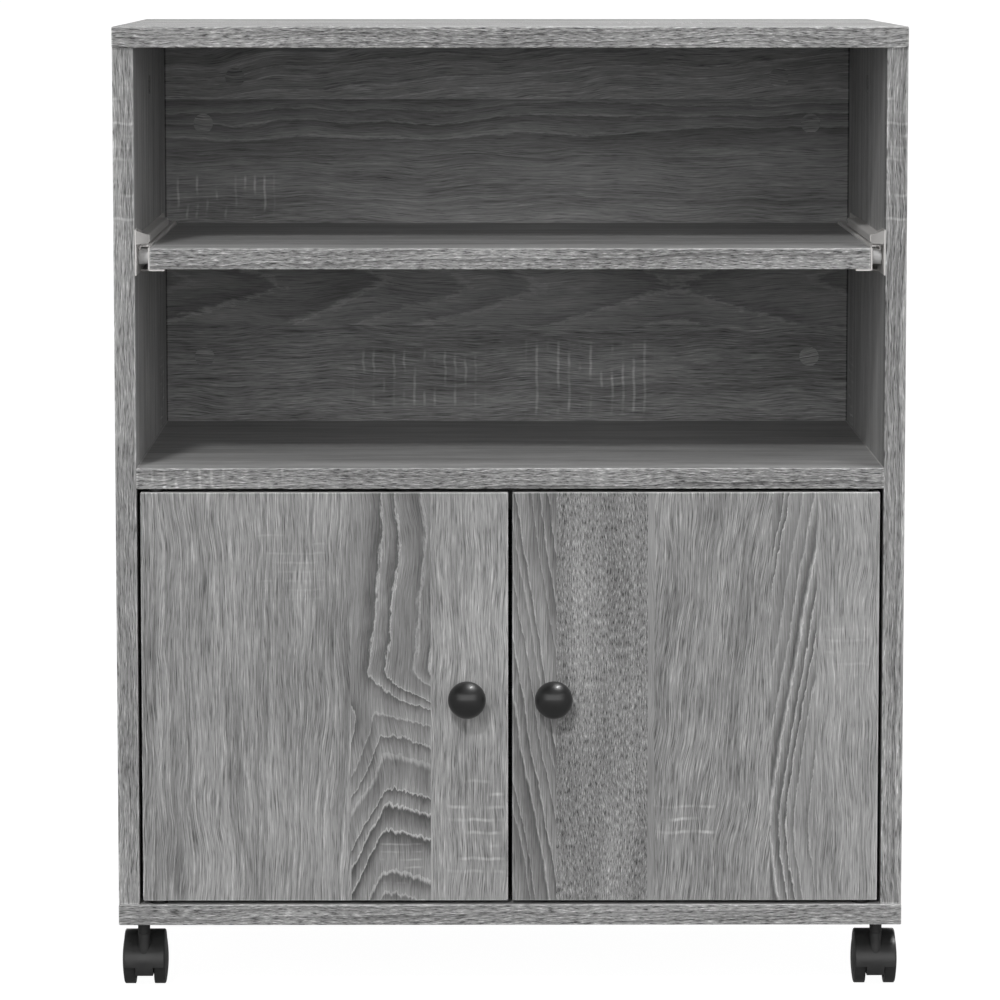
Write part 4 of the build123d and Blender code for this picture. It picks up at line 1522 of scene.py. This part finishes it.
@dataclass
class Studio:
    """Floor, light and camera.

    Args:
        floor_radius: Radius of the floor.
        key_strength: Strength of the key light.
        key_towards: The way the key light shines.
        key_spread: Its apparent size, in degrees.
        low: Brightness of the band of light round the room, up to about 25 degrees.
        high: Brightness of the light above that band.
        beside: Share of the band that is left at the room's two sides.
        behind: Brightness that the rear of the room has besides.
        room_seen: Brightness of the room to the camera.
        box_place: Place of the soft box over the cart.
        box_aim: The place that it shines on.
        box_size: Its length and breadth.
        box_strength: Its power.
        glint_strength: Power that it has besides in reflections alone.
        camera_place: Place of the camera.
        pitch: How far it looks down, in degrees.
        yaw: How far it looks to the right, in degrees.
        lens: Its focal length, in millimetres.
    """

    floor_radius: float = 200.0
    key_strength: float = 1.06
    key_towards: Point = (0.25, 1.0, -0.86)
    key_spread: float = 7.0
    low: float = 1.82
    high: float = 0.03
    beside: float = 0.15
    behind: float = 0.06
    room_seen: float = 1.0
    box_place: Point = (1.0, -0.6, 3.1)
    box_aim: Point = (0.0, -0.2, 0.3)
    box_size: tuple[float, float] = (1.35, 0.40)
    box_strength: float = 29.0
    glint_strength: float = 80.0
    camera_place: Point = (-0.0276, -3.9799, 0.799)
    pitch: float = 6.279
    yaw: float = 0.299
    lens: float = 180.75

    def floor(self) -> None:
        """Lays the floor."""
        work = bmesh.new()
        bmesh.ops.create_circle(work, cap_ends=True, segments=128, radius=self.floor_radius)
        floor = added("floor", meshed(work, "floor"))
        floor.data.materials.append(FloorPaper().material())

    def lamps(self) -> None:
        """Hangs the key light and the soft box, which shines more strongly in reflections."""
        lamp = bpy.data.lights.new("key", "SUN")
        lamp.energy = self.key_strength
        lamp.angle = math.radians(self.key_spread)
        key = added("key", lamp)
        key.rotation_euler = Vector(self.key_towards).to_track_quat("-Z", "Y").to_euler()
        key.visible_glossy = False
        for name, power in (("soft_box", self.box_strength), ("glint", self.glint_strength)):
            lamp = bpy.data.lights.new(name, "AREA")
            lamp.shape, lamp.energy = "RECTANGLE", power
            lamp.size, lamp.size_y = self.box_size
            box = added(name, lamp)
            box.location = self.box_place
            box.rotation_euler = (Vector(self.box_aim) - box.location).to_track_quat("-Z", "Y").to_euler()
            box.visible_diffuse = name == "soft_box"

    def room(self) -> None:
        """Fills the room with soft light, most of it low and away from the room's two sides."""
        world = bpy.data.worlds.new("room")
        world.use_nodes = True
        bench = ShaderBench(world.node_tree)
        glow = world.node_tree.nodes["Background"]
        way = bench.lay("TexCoord").outputs["Generated"]
        side, back, height = (bench.dot(way, axis) for axis in (RIGHTWARD, BACKWARD, UPWARD))
        ahead = bench.between(abs(side), 0.45, 0.9, self.low, self.low * self.beside)
        band = bench.between(height, 0.38, 0.52, ahead, self.high)
        rear = bench.between(back, 0.1, 0.5) * bench.between(height, 0.95, 0.75)
        soft = bench.maths("MULTIPLY_ADD", rear, self.behind, band)
        seen = bench.lay("LightPath").outputs["Is Camera Ray"]
        bench.feed(glow.inputs["Strength"], bench.blend(seen, soft, self.room_seen))
        glow.inputs["Color"].default_value = WHITE
        bpy.context.scene.world = world
        bpy.context.scene.view_settings.view_transform = "Standard"

    def camera(self) -> None:
        """Stands the camera in front of the cart."""
        lens = bpy.data.cameras.new("camera")
        lens.lens = self.lens
        lens.clip_end = 2 * self.floor_radius
        camera = added("camera", lens)
        camera.location = self.camera_place
        camera.rotation_euler = (math.radians(90 - self.pitch), 0.0, -math.radians(self.yaw))
        bpy.context.scene.camera = camera

    def build(self) -> None:
        """Sets up the studio."""
        self.camera()
        self.lamps()
        self.room()
        self.floor()


def main() -> None:
    """Builds the cart's looks in order."""
    logging.basicConfig(level=logging.INFO, format="%(name)s %(message)s")
    for section in (Studio(), Boards(), Doors(), Runners(), Casters(), Screws()):
        log.info("building %s", type(section).__name__)
        section.build()


if __name__ == "__main__":
    main()
